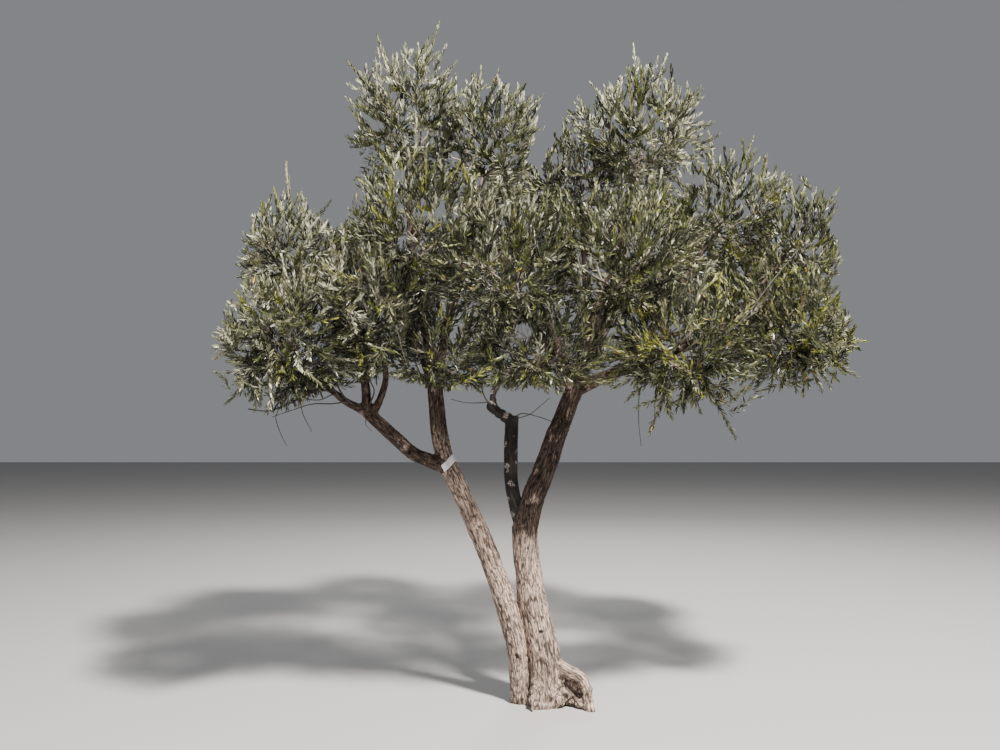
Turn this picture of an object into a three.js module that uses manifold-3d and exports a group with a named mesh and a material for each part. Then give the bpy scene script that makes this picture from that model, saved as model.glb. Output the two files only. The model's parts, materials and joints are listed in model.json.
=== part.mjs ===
// An olive tree with two stems on one root collar, in millimetres, +Z up.
// The origin is on the flat cut under the trunk, and -Y is the side that the crown shows best.
// The wood is a set of tapering limbs, each seated on the one that carries it.
// The crown is a set of leaf masses, each grown from one stem at the tip of its bough.
import * as THREE from "three";
import { mergeVertices } from "three/addons/utils/BufferGeometryUtils.js";
import Module from "manifold-3d";

const wasm = await Module();
wasm.setup();

// Driving sizes
const GAP = 0.32; // clear space between two pieces that touch
const LIMB_CLEAR = 7; // least space between a twig and a limb
const SPACE_MARGIN = 5; // least space to the border with the next mass
const BEAD_STEP = 22; // how finely limbs and twigs are measured against each other
const GOLDEN_ANGLE = Math.PI * (3 - Math.sqrt(5));
const UP = new THREE.Vector3(0, 0, 1);
const SEEDS = { first: 1000, step: 77, sprays: 5000 }; // where the random numbers of each mass start
const TIDY = { wood: 0.02, leaves: 0.3 }; // how far a face may move when the joined solids are simplified
const EARTH = { across: 2000, deep: 400 }; // the block below the ground that cuts the limbs flat

// The root collar: how far it spreads, how fast it fades with height, and its buttresses, each with
// a direction in degrees from +X, a share of the spread and a width in degrees.
const COLLAR = {
  out: 62, height: 150, round: 0.35,
  lobes: [
    { turn: -8, share: 0.75, width: 30 },
    { turn: -128, share: 0.8, width: 26 },
    { turn: -70, share: 0.25, width: 24 },
    { turn: 95, share: 0.6, width: 40 },
    { turn: 48, share: 0.35, width: 26 },
  ],
};

// One solid leaf stands for a whole spray of leaves.
const SPRAY = {
  length: 420, width: 190, thickness: 15,
  widest: 0.42, // where along its length
  slimmer: 0.7, // the width of a leader's spray beside the others
  count: 28, // aimed at even places round each mass
  nearest: 0.5, // where their middles lie, as shares of the mass's reach
  farthest: 0.88,
  reach: 1.12, // how far out their tips may go
  inside: 60, // how far their middles keep from the next mass
  sizes: [1, 0.88, 0.76, 0.64, 0.52], // the lengths that are tried, as shares of the full one
  tries: 14, // the roots that are tried
  shares: [0.3, 0.44, 0.58, 0.72, 0.86, 1], // where a spray may stand on its twig
  bendAtEnd: 0.6, // the cosines of how far it may turn from its twig, at the end and aside
  backward: -0.25,
  sunk: 0.4, // how far past the middle of its twig it is rooted, as a share of the twig's radius
  tilt: 0.6, // how far its flat side turns up from upright
  apart: 3, // least space to another spray or twig
};

// The twigs that carry the sprays. Radii grow with the number of twigs that each carries.
const TWIG = {
  count: 9, // aimed at even places round each mass
  nearest: 0.3, // where they end, as shares of the mass's reach
  farthest: 0.62,
  inside: 30, // how far their ends keep from the next mass
  tries: 5, // a twig that would leave its space is tried again, each time this much shorter
  shorter: 0.8,
  stem: 0.3, // the stem's length as a share of the mass's least reach
  thinnest: 6.5,
  power: 2.2, // how fast radii grow with what is carried
  taper: 0.7,
  seat: 0.62, // the widest foot, as a share of the radius that it stands on
  sunk: 0.15,
  shares: [0.25, 0.35, 0.45, 0.55, 0.65, 0.75, 0.85, 0.93], // where a twig may leave another
  spacing: 22, // least space between two joints on one twig
  shortest: 70,
  forward: -0.35, // the cosine of how far a twig may turn from the one that carries it
  pathCost: 0.35, // how much a short way back to the stem counts beside a short twig
};

// The limbs. Each grows from the point at share `at` along the limb `on`, through its knots.
// `foot` and `tip` are the radii at its two ends.
const LIMBS = [
  {
    name: "trunk", foot: 96, tip: 79, sides: 16, rings: 11, cut: true, collar: true,
    knots: [[0, 0, -60], [-22, 0, 185], [-52, 0, 365], [-100, 0, 605], [-135, 0, 845], [-142, 0, 1085]],
  },
  {
    name: "left_stem", foot: 72, tip: 50, sides: 10, rings: 12, cut: true,
    knots: [
      [-160, 12, -50], [-183, 4, 190], [-205, -10, 370], [-300, -20, 690],
      [-415, -20, 985], [-580, -20, 1345], [-668, -20, 1560], [-712, -20, 1955],
    ],
  },
  {
    name: "surface_root", foot: 34, tip: 30, sides: 7, rings: 7, cut: true,
    knots: [[30, -20, 232], [112, -75, 208], [192, -118, 160], [222, -138, 60], [226, -148, -50]],
  },
  {
    name: "right_bough", on: "trunk", at: 0.96, foot: 74, tip: 58, sides: 10, rings: 8,
    knots: [[-90, 0, 1240], [-40, 0, 1355], [35, 10, 1560], [115, 20, 1765], [185, 20, 1935]],
  },
  {
    name: "mid_bough", on: "trunk", at: 0.93, foot: 46, tip: 43, sides: 8, rings: 6,
    knots: [[-200, 80, 1175], [-230, 120, 1325], [-230, 160, 1515], [-220, 200, 1735]],
  },
  {
    name: "mid_arm", on: "mid_bough", at: 0.93, foot: 25, tip: 14, sides: 6, rings: 6,
    knots: [[-300, 210, 1755], [-345, 225, 1800], [-340, 290, 1900], [-270, 420, 2000]],
  },
  {
    name: "left_bough", on: "left_stem", at: 0.735, foot: 46, tip: 38, sides: 8, rings: 6,
    knots: [[-730, -60, 1455], [-830, -100, 1500], [-925, -130, 1585], [-1120, -190, 1765]],
  },
  {
    name: "left_low_bough", on: "left_bough", at: 0.97, foot: 26, tip: 17, sides: 6, rings: 4,
    knots: [[-1215, -230, 1805], [-1290, -265, 1865], [-1390, -310, 1930]],
  },
  {
    name: "left_rise_bough", on: "left_bough", at: 0.96, foot: 29, tip: 16, sides: 6, rings: 5,
    knots: [[-1130, -165, 1960], [-1290, -90, 2250], [-1490, 0, 2520]],
  },
  {
    name: "left_inner_bough", on: "left_bough", at: 0.9, foot: 25, tip: 15, sides: 6, rings: 4,
    knots: [[-1010, -200, 1850], [-985, -212, 1970], [-1015, -235, 2140]],
  },
  {
    name: "top_left_bough", on: "left_stem", at: 0.975, foot: 45, tip: 17, sides: 6, rings: 6,
    knots: [[-755, -10, 2250], [-850, 0, 2700], [-895, 0, 3300]],
  },
  {
    name: "top_centre_bough", on: "left_stem", at: 0.965, foot: 38, tip: 16, sides: 6, rings: 6,
    knots: [[-640, 45, 2300], [-520, 105, 2750], [-430, 140, 3230]],
  },
  {
    name: "mid_left_bough", on: "top_left_bough", at: 0.14, foot: 24, tip: 15, sides: 6, rings: 4,
    knots: [[-745, -160, 2280], [-765, -280, 2560]],
  },
  {
    name: "low_left_bough", on: "left_stem", at: 0.93, foot: 22, tip: 14, sides: 6, rings: 3,
    knots: [[-700, -125, 1930], [-672, -200, 2020]],
  },
  {
    name: "back_left_bough", on: "left_stem", at: 0.955, foot: 32, tip: 16, sides: 6, rings: 5,
    knots: [[-830, 230, 2170], [-1060, 560, 2560]],
  },
  {
    name: "top_right_bough", on: "right_bough", at: 0.965, foot: 46, tip: 17, sides: 6, rings: 6,
    knots: [[285, 10, 2300], [450, 0, 2800], [565, 0, 3270]],
  },
  {
    name: "notch_bough", on: "top_right_bough", at: 0.2, foot: 27, tip: 15, sides: 6, rings: 5,
    knots: [[255, 110, 2560], [240, 180, 3110]],
  },
  {
    name: "centre_right_bough", on: "top_right_bough", at: 0.1, foot: 26, tip: 15, sides: 6, rings: 4,
    knots: [[285, -150, 2180], [345, -290, 2370]],
  },
  {
    name: "centre_bough", on: "right_bough", at: 0.93, foot: 30, tip: 15, sides: 6, rings: 5,
    knots: [[30, -140, 2100], [-170, -310, 2380]],
  },
  {
    name: "low_centre_bough", on: "centre_bough", at: 0.42, foot: 19, tip: 14, sides: 5, rings: 3,
    knots: [[0, -225, 2040], [-35, -300, 2055]],
  },
  {
    name: "right_reach_bough", on: "right_bough", at: 0.955, foot: 42, tip: 26, sides: 7, rings: 6,
    knots: [[450, -40, 2010], [760, -95, 2120], [1050, -140, 2245]],
  },
  {
    name: "right_mid_bough", on: "right_reach_bough", at: 0.96, foot: 20, tip: 14, sides: 6, rings: 3,
    knots: [[1180, -170, 2270], [1290, -190, 2265]],
  },
  {
    name: "right_far_bough", on: "right_reach_bough", at: 0.95, foot: 20, tip: 12, sides: 6, rings: 4,
    knots: [[1165, -130, 2345], [1330, -105, 2540], [1500, -70, 2745]],
  },
  {
    name: "right_top_bough", on: "right_reach_bough", at: 0.35, foot: 28, tip: 14, sides: 6, rings: 5,
    knots: [[700, 0, 2330], [1050, 70, 2870]],
  },
  {
    name: "low_right_bough", on: "right_reach_bough", at: 0.25, foot: 24, tip: 15, sides: 6, rings: 3,
    knots: [[500, -170, 2000], [620, -270, 2030]],
  },
  {
    name: "back_centre_bough", on: "right_bough", at: 0.945, foot: 38, tip: 17, sides: 6, rings: 5,
    knots: [[90, 350, 2230], [-60, 700, 2650], [-150, 890, 2920]],
  },
  {
    name: "back_right_bough", on: "right_bough", at: 0.97, foot: 36, tip: 16, sides: 6, rings: 5,
    knots: [[370, 320, 2240], [620, 700, 2680]],
  },
  {
    name: "back_far_bough", on: "back_right_bough", at: 0.25, foot: 27, tip: 15, sides: 6, rings: 5,
    knots: [[620, 330, 2200], [1250, 590, 2430]],
  },
];

// The leaf masses. Each is carried by the tip of a bough, fills the space that `reach` gives
// round its centre, and sends the shoots in `leaders` beyond it to the tips of the crown.
const MASSES = [
  {
    name: "left_low_mass", on: "left_low_bough", centre: [-1500, -350, 2120], reach: [480, 480, 420],
    leaders: [[-1990, -300, 2210], [-1880, -380, 1790]],
  },
  {
    name: "left_top_mass", on: "left_rise_bough", centre: [-1640, 50, 2790], reach: [360, 420, 380],
    leaders: [[-1690, 50, 3370], [-1400, 50, 3110]],
  },
  { name: "left_inner_mass", on: "left_inner_bough", centre: [-1060, -290, 2370], reach: [430, 410, 420] },
  {
    name: "top_left_mass", on: "top_left_bough", centre: [-880, 0, 3620], reach: [395, 450, 460],
    leaders: [[-1110, 50, 4230], [-700, 0, 4300], [-1270, -140, 3960]],
  },
  {
    name: "top_centre_mass", on: "top_centre_bough", centre: [-400, 150, 3540], reach: [420, 430, 430],
    leaders: [[-310, 150, 4050], [-10, 200, 3890]],
  },
  { name: "mid_left_mass", on: "mid_left_bough", centre: [-770, -350, 2880], reach: [440, 400, 440] },
  { name: "centre_mass", on: "centre_bough", centre: [-250, -450, 2590], reach: [470, 400, 440] },
  {
    name: "top_right_mass", on: "top_right_bough", centre: [600, 0, 3560], reach: [430, 440, 430],
    leaders: [[560, -60, 4100], [800, 60, 4110], [1010, 0, 3830], [300, 100, 3930]],
  },
  { name: "notch_mass", on: "notch_bough", centre: [200, 210, 3330], reach: [370, 400, 390] },
  {
    name: "right_top_mass", on: "right_top_bough", centre: [1160, 100, 3090], reach: [390, 400, 390],
    leaders: [[1360, 80, 3550], [1080, 120, 3600]],
  },
  {
    name: "right_far_mass", on: "right_far_bough", centre: [1600, -50, 2850], reach: [330, 350, 350],
    leaders: [[1850, -40, 3160]],
  },
  {
    name: "right_mid_mass", on: "right_mid_bough", centre: [1420, -200, 2260], reach: [430, 420, 400],
    leaders: [[1930, -150, 2180], [1830, -230, 1960]],
  },
  {
    name: "centre_right_mass", on: "centre_right_bough", centre: [400, -410, 2650], reach: [480, 400, 450],
  },
  { name: "low_centre_mass", on: "low_centre_bough", centre: [-50, -430, 2110], reach: [420, 340, 330] },
  {
    name: "low_right_mass", on: "low_right_bough", centre: [750, -360, 2130], reach: [460, 400, 390],
    leaders: [[1080, -300, 1590], [560, -400, 1620]],
  },
  { name: "low_left_mass", on: "low_left_bough", centre: [-660, -370, 2090], reach: [390, 340, 340] },
  {
    name: "back_left_mass", on: "back_left_bough", centre: [-1200, 800, 2830], reach: [500, 480, 470],
    leaders: [[-1300, 850, 3450]],
  },
  {
    name: "back_centre_mass", on: "back_centre_bough", centre: [-220, 1030, 3170], reach: [510, 480, 490],
    leaders: [[-250, 1080, 3830]],
  },
  {
    name: "back_right_mass", on: "back_right_bough", centre: [840, 930, 3010], reach: [500, 480, 480],
    leaders: [[900, 980, 3640]],
  },
  {
    name: "back_far_mass", on: "back_far_bough", centre: [1480, 680, 2640], reach: [450, 440, 440],
    leaders: [[1820, 740, 3020]],
  },
  { name: "back_low_mass", on: "mid_arm", centre: [-170, 590, 2230], reach: [450, 410, 380] },
];

const finish = (color, roughness) =>
  new THREE.MeshStandardMaterial({ color, roughness, metalness: 0, flatShading: true });
const BARK = finish(0x7d6f62, 0.95);
const DEAD_WOOD = finish(0x4a423c, 0.95);
const LEAVES = finish(0x7c8a63, 0.6);

// Numbers from 0 to 1 that come out the same for the same seed.
function seeded(seed) {
  let state = seed;
  return () => {
    state = (state * 16807) % 2147483647;
    return state / 2147483647;
  };
}

const vector = (xyz) => new THREE.Vector3(...xyz);

// A closed three.js geometry as a solid.
function solidOf(geometry) {
  const bare = geometry.clone();
  bare.deleteAttribute("normal");
  bare.deleteAttribute("uv");
  const merged = mergeVertices(bare, 1e-3);
  return new wasm.Manifold(new wasm.Mesh({
    numProp: 3,
    vertProperties: merged.getAttribute("position").array,
    triVerts: new Uint32Array(merged.index.array),
  }));
}

// A solid as a geometry about the point `seat`.
function geometryOf(solid, seat) {
  const { vertProperties, triVerts } = solid.getMesh();
  return new THREE.BufferGeometry()
    .setAttribute("position", new THREE.BufferAttribute(new Float32Array(vertProperties), 3))
    .setIndex(new THREE.BufferAttribute(triVerts, 1))
    .translate(-seat.x, -seat.y, -seat.z)
    .toNonIndexed();
}

// The largest body of a solid, so that a loose scrap is left out.
function largest(solid) {
  return solid.decompose().reduce((a, b) => (a.volume() > b.volume() ? a : b));
}

// How far the root collar stands out at a height and a direction.
function collarAt(height, turn) {
  const fade = COLLAR.out * Math.exp(-Math.max(height, 0) / COLLAR.height);
  const lobes = COLLAR.lobes.reduce((sum, lobe) => {
    const away = ((((turn - lobe.turn) % 360) + 540) % 360) - 180;
    return sum + lobe.share * Math.exp(-((away / lobe.width) ** 2));
  }, 0);
  return fade * (COLLAR.round + lobes);
}

// A tapering tube along a curve. `more` makes it fatter and longer, for cutting a seat.
function limbSolid(limb, more = 0) {
  const { curve, foot, tip, sides, rings } = limb;
  const shape = new THREE.CylinderGeometry(1, 1, 1, sides, rings);
  const frames = curve.computeFrenetFrames(rings, false);
  const place = shape.getAttribute("position");
  for (let i = 0; i < place.count; i++) {
    const ring = Math.round((place.getY(i) + 0.5) * rings);
    const middle = curve.getPointAt(ring / rings);
    const out = frames.binormals[ring].clone().multiplyScalar(place.getX(i));
    out.addScaledVector(frames.normals[ring], place.getZ(i));
    let radius = THREE.MathUtils.lerp(foot, tip, ring / rings) + more;
    if (limb.collar) radius += collarAt(middle.z, THREE.MathUtils.radToDeg(Math.atan2(out.y, out.x)));
    const end = ring === rings ? more : 0;
    middle.addScaledVector(out, radius).addScaledVector(frames.tangents[ring], end);
    place.setXYZ(i, middle.x, middle.y, middle.z);
  }
  return solidOf(shape);
}

// Each limb's curve, from its place on the limb that carries it.
function traceLimbs() {
  const traced = new Map();
  for (const limb of LIMBS) {
    const points = limb.knots.map(vector);
    if (limb.on) points.unshift(traced.get(limb.on).curve.getPointAt(limb.at));
    const curve = new THREE.CatmullRomCurve3(points, false, "catmullrom", 0.5);
    traced.set(limb.name, { ...limb, curve, points });
  }
  return traced;
}

// Points along every limb with the radius there, for keeping twigs clear of the wood.
function limbBeads(limbs) {
  const beads = [];
  for (const limb of limbs.values()) {
    const count = Math.ceil(limb.curve.getLength() / BEAD_STEP);
    for (let i = 0; i <= count; i++) {
      const radius = THREE.MathUtils.lerp(limb.foot, limb.tip, i / count);
      beads.push({ at: limb.curve.getPointAt(i / count), radius });
    }
  }
  return beads;
}

// Every limb as a solid, cut by the ground and by the limbs made before it.
function buildWood(limbs) {
  const block = new THREE.BoxGeometry(EARTH.across, EARTH.across, EARTH.deep);
  const earth = solidOf(block.translate(0, 0, -EARTH.deep / 2));
  const cutters = [];
  const wood = [];
  for (const limb of limbs.values()) {
    let solid = limbSolid(limb);
    if (limb.cut) solid = solid.subtract(earth);
    for (const cutter of cutters) solid = solid.subtract(cutter);
    solid = largest(solid).simplify(TIDY.wood);
    cutters.push(limbSolid(limb, GAP));
    wood.push({ name: limb.name, solid, seat: limb.cut ? limb.points[0].clone().setZ(0) : limb.points[0] });
  }
  return wood;
}

// Whether a point is on the mass's own side of the planes that part it from the other masses.
function onOwnSide(mass, point, margin) {
  const away = point.clone().sub(mass.middle);
  return mass.planes.every(({ normal, distance }) => away.dot(normal) < distance - margin);
}

// How far out a point lies in a mass, as a share of its reach.
function shareOfReach(mass, point) {
  const [x, y, z] = mass.reach;
  const away = point.clone().sub(mass.middle);
  return Math.hypot(away.x / x, away.y / y, away.z / z);
}

// The planes where the spaces of neighbouring masses meet.
function partMasses() {
  const mean = (mass) => (mass.reach[0] + mass.reach[1] + mass.reach[2]) / 3;
  const parted = MASSES.map((mass, i) => {
    return { leaders: [], ...mass, middle: vector(mass.centre), seed: SEEDS.first + SEEDS.step * i };
  });
  for (const mass of parted)
    mass.planes = parted.filter((other) => other !== mass).map((other) => {
      const normal = other.middle.clone().sub(mass.middle);
      const apart = normal.length();
      const distance = (apart ** 2 + mean(mass) ** 2 - mean(other) ** 2) / (2 * apart);
      return { normal: normal.normalize(), distance };
    });
  return parted;
}

// Whether the straight run from a to b, this thick, keeps clear of the wood.
function clearOfWood(a, b, radius, beads) {
  const steps = Math.ceil(a.distanceTo(b) / BEAD_STEP) + 1;
  for (let i = 0; i <= steps; i++) {
    const point = a.clone().lerp(b, i / steps);
    if (beads.some((bead) => bead.at.distanceTo(point) < bead.radius + radius + LIMB_CLEAR)) return false;
  }
  return true;
}

// Places in even directions round the middle of a mass, within its own space.
function evenPlaces(mass, { count, nearest, farthest, inside }, seed) {
  const random = seeded(seed);
  const places = [];
  for (let k = 0; k < count; k++) {
    const height = 1 - (2 * k + 1) / count;
    const round = Math.sqrt(1 - height * height);
    const turn = GOLDEN_ANGLE * k + seed;
    const way = new THREE.Vector3(Math.cos(turn) * round, Math.sin(turn) * round, height);
    way.multiply(vector(mass.reach));
    let share = THREE.MathUtils.lerp(nearest, farthest, random());
    for (let n = 0; n < TWIG.tries; n++, share *= TWIG.shorter) {
      const place = mass.middle.clone().addScaledVector(way, share);
      if (!onOwnSide(mass, place, inside)) continue;
      places.push(place);
      break;
    }
  }
  return places;
}

// The places that the twigs of a mass grow to: even all round it, and the feet of its leaders.
function twigTargets(mass) {
  const targets = evenPlaces(mass, TWIG, mass.seed).map((at) => ({ at }));
  for (const tip of mass.leaders.map(vector)) {
    const way = tip.clone().sub(mass.middle).normalize();
    const at = tip.clone().addScaledVector(way, -SPRAY.length);
    if (onOwnSide(mass, at, TWIG.inside)) targets.push({ at, tip });
  }
  return targets;
}

// A new twig from a place on the one that carries it.
function twigFrom(parent, share, start, end, tip) {
  const length = start.distanceTo(end);
  const way = end.clone().sub(start).normalize();
  const run = parent ? parent.run + share * parent.length : 0;
  return { parent, share, start, end, tip, length, way, run, carries: 0, joints: [] };
}

// Whether a place along a twig is far enough from all that already grows there.
function isFree(twig, share) {
  return twig.joints.every((joint) => Math.abs(joint - share) * twig.length > TWIG.spacing);
}

// The twigs of a mass. Each leaves the stem, or another twig, where the way back to the bough is short.
function growTwigs(mass, bough, beads) {
  const heading = bough.curve.getTangentAt(1);
  const seat = bough.points.at(-1).clone().addScaledVector(heading, GAP);
  const stemEnd = seat.clone().addScaledVector(heading, TWIG.stem * Math.min(...mass.reach));
  const twigs = [twigFrom(null, 0, seat, stemEnd, null)];
  const targets = twigTargets(mass).sort((a, b) => a.at.distanceTo(seat) - b.at.distanceTo(seat));
  for (const target of targets) {
    const ways = [];
    for (const twig of twigs)
      for (const share of TWIG.shares.filter((value) => isFree(twig, value))) {
        const start = twig.start.clone().lerp(twig.end, share);
        const grown = twigFrom(twig, share, start, target.at, target.tip);
        if (grown.length < TWIG.shortest || grown.way.dot(twig.way) < TWIG.forward) continue;
        ways.push({ grown, cost: grown.length + TWIG.pathCost * grown.run });
      }
    ways.sort((a, b) => a.cost - b.cost);
    const best = ways.find(({ grown }) => clearOfWood(grown.start, grown.end, TWIG.thinnest, beads));
    if (!best) continue;
    best.grown.parent.joints.push(best.grown.share);
    twigs.push(best.grown);
  }
  for (const twig of twigs) for (let t = twig; t; t = t.parent) t.carries += 1;
  for (const twig of twigs) {
    const wanted = Math.min(TWIG.thinnest * twig.carries ** (1 / TWIG.power), bough.tip);
    const { parent } = twig;
    const widest = parent ? TWIG.seat * THREE.MathUtils.lerp(parent.foot, parent.thin, twig.share) : wanted;
    twig.foot = Math.min(wanted, widest);
    twig.thin = Math.max(TWIG.taper * twig.foot, TWIG.thinnest * TWIG.taper);
  }
  return twigs;
}

// A closed shape through three-sided rings, from a flat foot to one point or to a flat end.
function threeSided(rings, point) {
  const corners = rings.flat();
  const faces = [0, 2, 1];
  for (let r = 0; r + 1 < rings.length; r++) {
    for (let i = 0; i < 3; i++) {
      const [low, next] = [3 * r + i, 3 * r + ((i + 1) % 3)];
      faces.push(low, next, next + 3, low, next + 3, low + 3);
    }
  }
  const last = corners.length - 3;
  if (point) {
    corners.push(point);
    faces.push(last, last + 1, last + 3, last + 1, last + 2, last + 3, last + 2, last, last + 3);
  } else {
    faces.push(last, last + 1, last + 2);
  }
  const shape = new THREE.BufferGeometry();
  shape.setAttribute("position", new THREE.Float32BufferAttribute(corners.flatMap((c) => c.toArray()), 3));
  return shape.setIndex(faces);
}

// The two directions across a run: flat along the side that a leaf shows, and up from it.
function framed(way, facing) {
  const across = facing.clone().cross(way);
  if (across.length() < 1e-3) across.set(way.z, way.x, way.y).cross(way);
  across.normalize();
  return { across, up: way.clone().cross(across) };
}

// A three-sided ring of a twig.
function twigRing(middle, { across, up }, radius) {
  return [-30, 90, 210].map((degrees) => {
    const turn = THREE.MathUtils.degToRad(degrees);
    const corner = middle.clone().addScaledVector(across, radius * Math.cos(turn));
    return corner.addScaledVector(up, radius * Math.sin(turn));
  });
}

// The widest ring of a leaf: flat below, with a ridge on the side that it shows.
function leafRing({ root, way, frame: { across, up }, length, width }) {
  const middle = root.clone().addScaledVector(way, SPRAY.widest * length);
  const half = (width / 2) * Math.sqrt(length / SPRAY.length);
  return [
    middle.clone().addScaledVector(across, half),
    middle.clone().addScaledVector(up, SPRAY.thickness),
    middle.clone().addScaledVector(across, -half),
  ];
}

// A twig, ending flat or running on into a leaf.
function twigSolid(twig, leaf) {
  const frame = leaf ? leaf.frame : framed(twig.way, UP);
  const level = framed(twig.way, frame.up);
  const start = twig.start.clone().addScaledVector(twig.way, twig.parent ? -TWIG.sunk * twig.foot : 0);
  const rings = [twigRing(start, level, twig.foot), twigRing(twig.end, level, twig.thin)];
  if (!leaf) return solidOf(threeSided(rings));
  return solidOf(threeSided([...rings, leafRing(leaf)], leaf.end));
}

// A leaf that stands on the side of a twig, with its pointed root inside it.
function sideLeafSolid(leaf) {
  const [left, ridge, right] = leafRing(leaf);
  const shape = new THREE.BufferGeometry();
  const corners = [leaf.root, left, ridge, right, leaf.end].flatMap((c) => c.toArray());
  shape.setAttribute("position", new THREE.Float32BufferAttribute(corners, 3));
  return solidOf(shape.setIndex([0, 2, 1, 0, 3, 2, 0, 1, 3, 4, 1, 2, 4, 2, 3, 4, 3, 1]));
}

// Whether a leaf keeps to the space of its mass and off the wood.
function leafFits(mass, leaf, beads, beyond) {
  for (const corner of [...leafRing(leaf), leaf.end]) {
    if (!onOwnSide(mass, corner, SPACE_MARGIN)) return false;
    if (!beyond && shareOfReach(mass, corner) > SPRAY.reach) return false;
  }
  return clearOfWood(leaf.root, leaf.end, leaf.width / 3, beads);
}

// The places on the twigs that a spray could leave for its aim, the best first.
function rootsFor(aim, twigs) {
  const roots = [];
  for (const twig of twigs)
    for (const share of SPRAY.shares) {
      if (share === 1 ? twig.leaf : !isFree(twig, share)) continue;
      const place = twig.start.clone().lerp(twig.end, share);
      const way = aim.clone().sub(place);
      const apart = way.length();
      way.normalize();
      const forward = way.dot(twig.way);
      if (forward < (share === 1 ? SPRAY.bendAtEnd : SPRAY.backward) || apart > SPRAY.length) continue;
      const cost = Math.abs(apart - SPRAY.length / 2) - (share === 1 ? SPRAY.length / 4 : 0);
      roots.push({ twig, share, place, way, cost });
    }
  return roots.sort((a, b) => a.cost - b.cost).slice(0, SPRAY.tries);
}

// The longest leaf from a root that clears the space, the wood, the twigs and the other leaves.
function leafFrom({ twig, share, place, way }, mass, made, twigs, beads) {
  const atEnd = share === 1;
  const others = twigs.filter((other) => other !== twig && !(atEnd && other.parent === twig));
  const width = SPRAY.width * (atEnd && twig.tip ? SPRAY.slimmer : 1);
  const thickness = THREE.MathUtils.lerp(twig.foot, twig.thin, share);
  const root = place.clone().addScaledVector(way, atEnd ? 0 : -SPRAY.sunk * thickness);
  const facing = way.clone().cross(UP).setLength(made.length % 2 ? 1 : -1);
  const frame = framed(way, facing.setZ(SPRAY.tilt));
  for (const size of SPRAY.sizes) {
    const length = SPRAY.length * size;
    const leaf = { root, way, length, width, frame, end: root.clone().addScaledVector(way, length) };
    if (!leafFits(mass, leaf, beads, Boolean(twig.tip))) continue;
    leaf.solid = sideLeafSolid(leaf);
    const near = (other) => leaf.solid.minGap(other.solid, SPRAY.apart) < SPRAY.apart;
    if (!made.some(near) && !others.some(near)) return leaf;
  }
  return null;
}

// The sprays of a mass, each on the first root that it fits.
function growSprays(mass, twigs, beads) {
  const made = [];
  const settle = (roots) => {
    for (const root of roots) {
      const leaf = leafFrom(root, mass, made, twigs, beads);
      if (!leaf) continue;
      made.push(leaf);
      if (root.share === 1) root.twig.leaf = leaf;
      else root.twig.joints.push(root.share);
      return;
    }
  };
  for (const twig of twigs.filter((one) => one.tip))
    settle([{ twig, share: 1, place: twig.end, way: twig.tip.clone().sub(twig.end).normalize() }]);
  for (const aim of evenPlaces(mass, SPRAY, mass.seed + SEEDS.sprays)) settle(rootsFor(aim, twigs));
  return made;
}

// One leaf mass: its twigs and sprays joined into one body.
function buildMass(mass, bough, beads) {
  const twigs = growTwigs(mass, bough, beads);
  for (const twig of twigs) twig.solid = twigSolid(twig);
  const sprays = growSprays(mass, twigs, beads);
  for (const twig of twigs) if (twig.leaf) twig.solid = twigSolid(twig, twig.leaf);
  const aside = sprays.filter((leaf) => twigs.every((twig) => twig.leaf !== leaf));
  const joined = wasm.Manifold.union([...twigs, ...aside].map(({ solid }) => solid));
  return { name: mass.name, solid: largest(joined).simplify(TIDY.leaves), seat: twigs[0].start };
}

function meshOf({ name, solid, seat }, material) {
  const mesh = new THREE.Mesh(geometryOf(solid, seat), material);
  mesh.name = name;
  mesh.position.copy(seat);
  return mesh;
}

const limbs = traceLimbs();
const beads = limbBeads(limbs);
const wood = new THREE.Group();
for (const limb of buildWood(limbs)) wood.add(meshOf(limb, limb.name === "mid_bough" ? DEAD_WOOD : BARK));
const crown = new THREE.Group();
for (const mass of partMasses()) crown.add(meshOf(buildMass(mass, limbs.get(mass.on), beads), LEAVES));

const tree = new THREE.Group();
tree.add(wood, crown);
export default tree;
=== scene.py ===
# Dresses the frame of an olive tree with two stems in bark, twigs and leaves.
# The limbs and leaf masses are those of the source, in millimetres. Each mass is grown again here
# by the same rule and carried on to finer twigs, leafy shoots and single leaves.
import json
import math
from functools import cache

import bmesh
import bpy
import numpy as np
from bpy.props import FloatProperty, FloatVectorProperty, IntProperty, PointerProperty
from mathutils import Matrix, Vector
from mathutils.bvhtree import BVHTree

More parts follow.
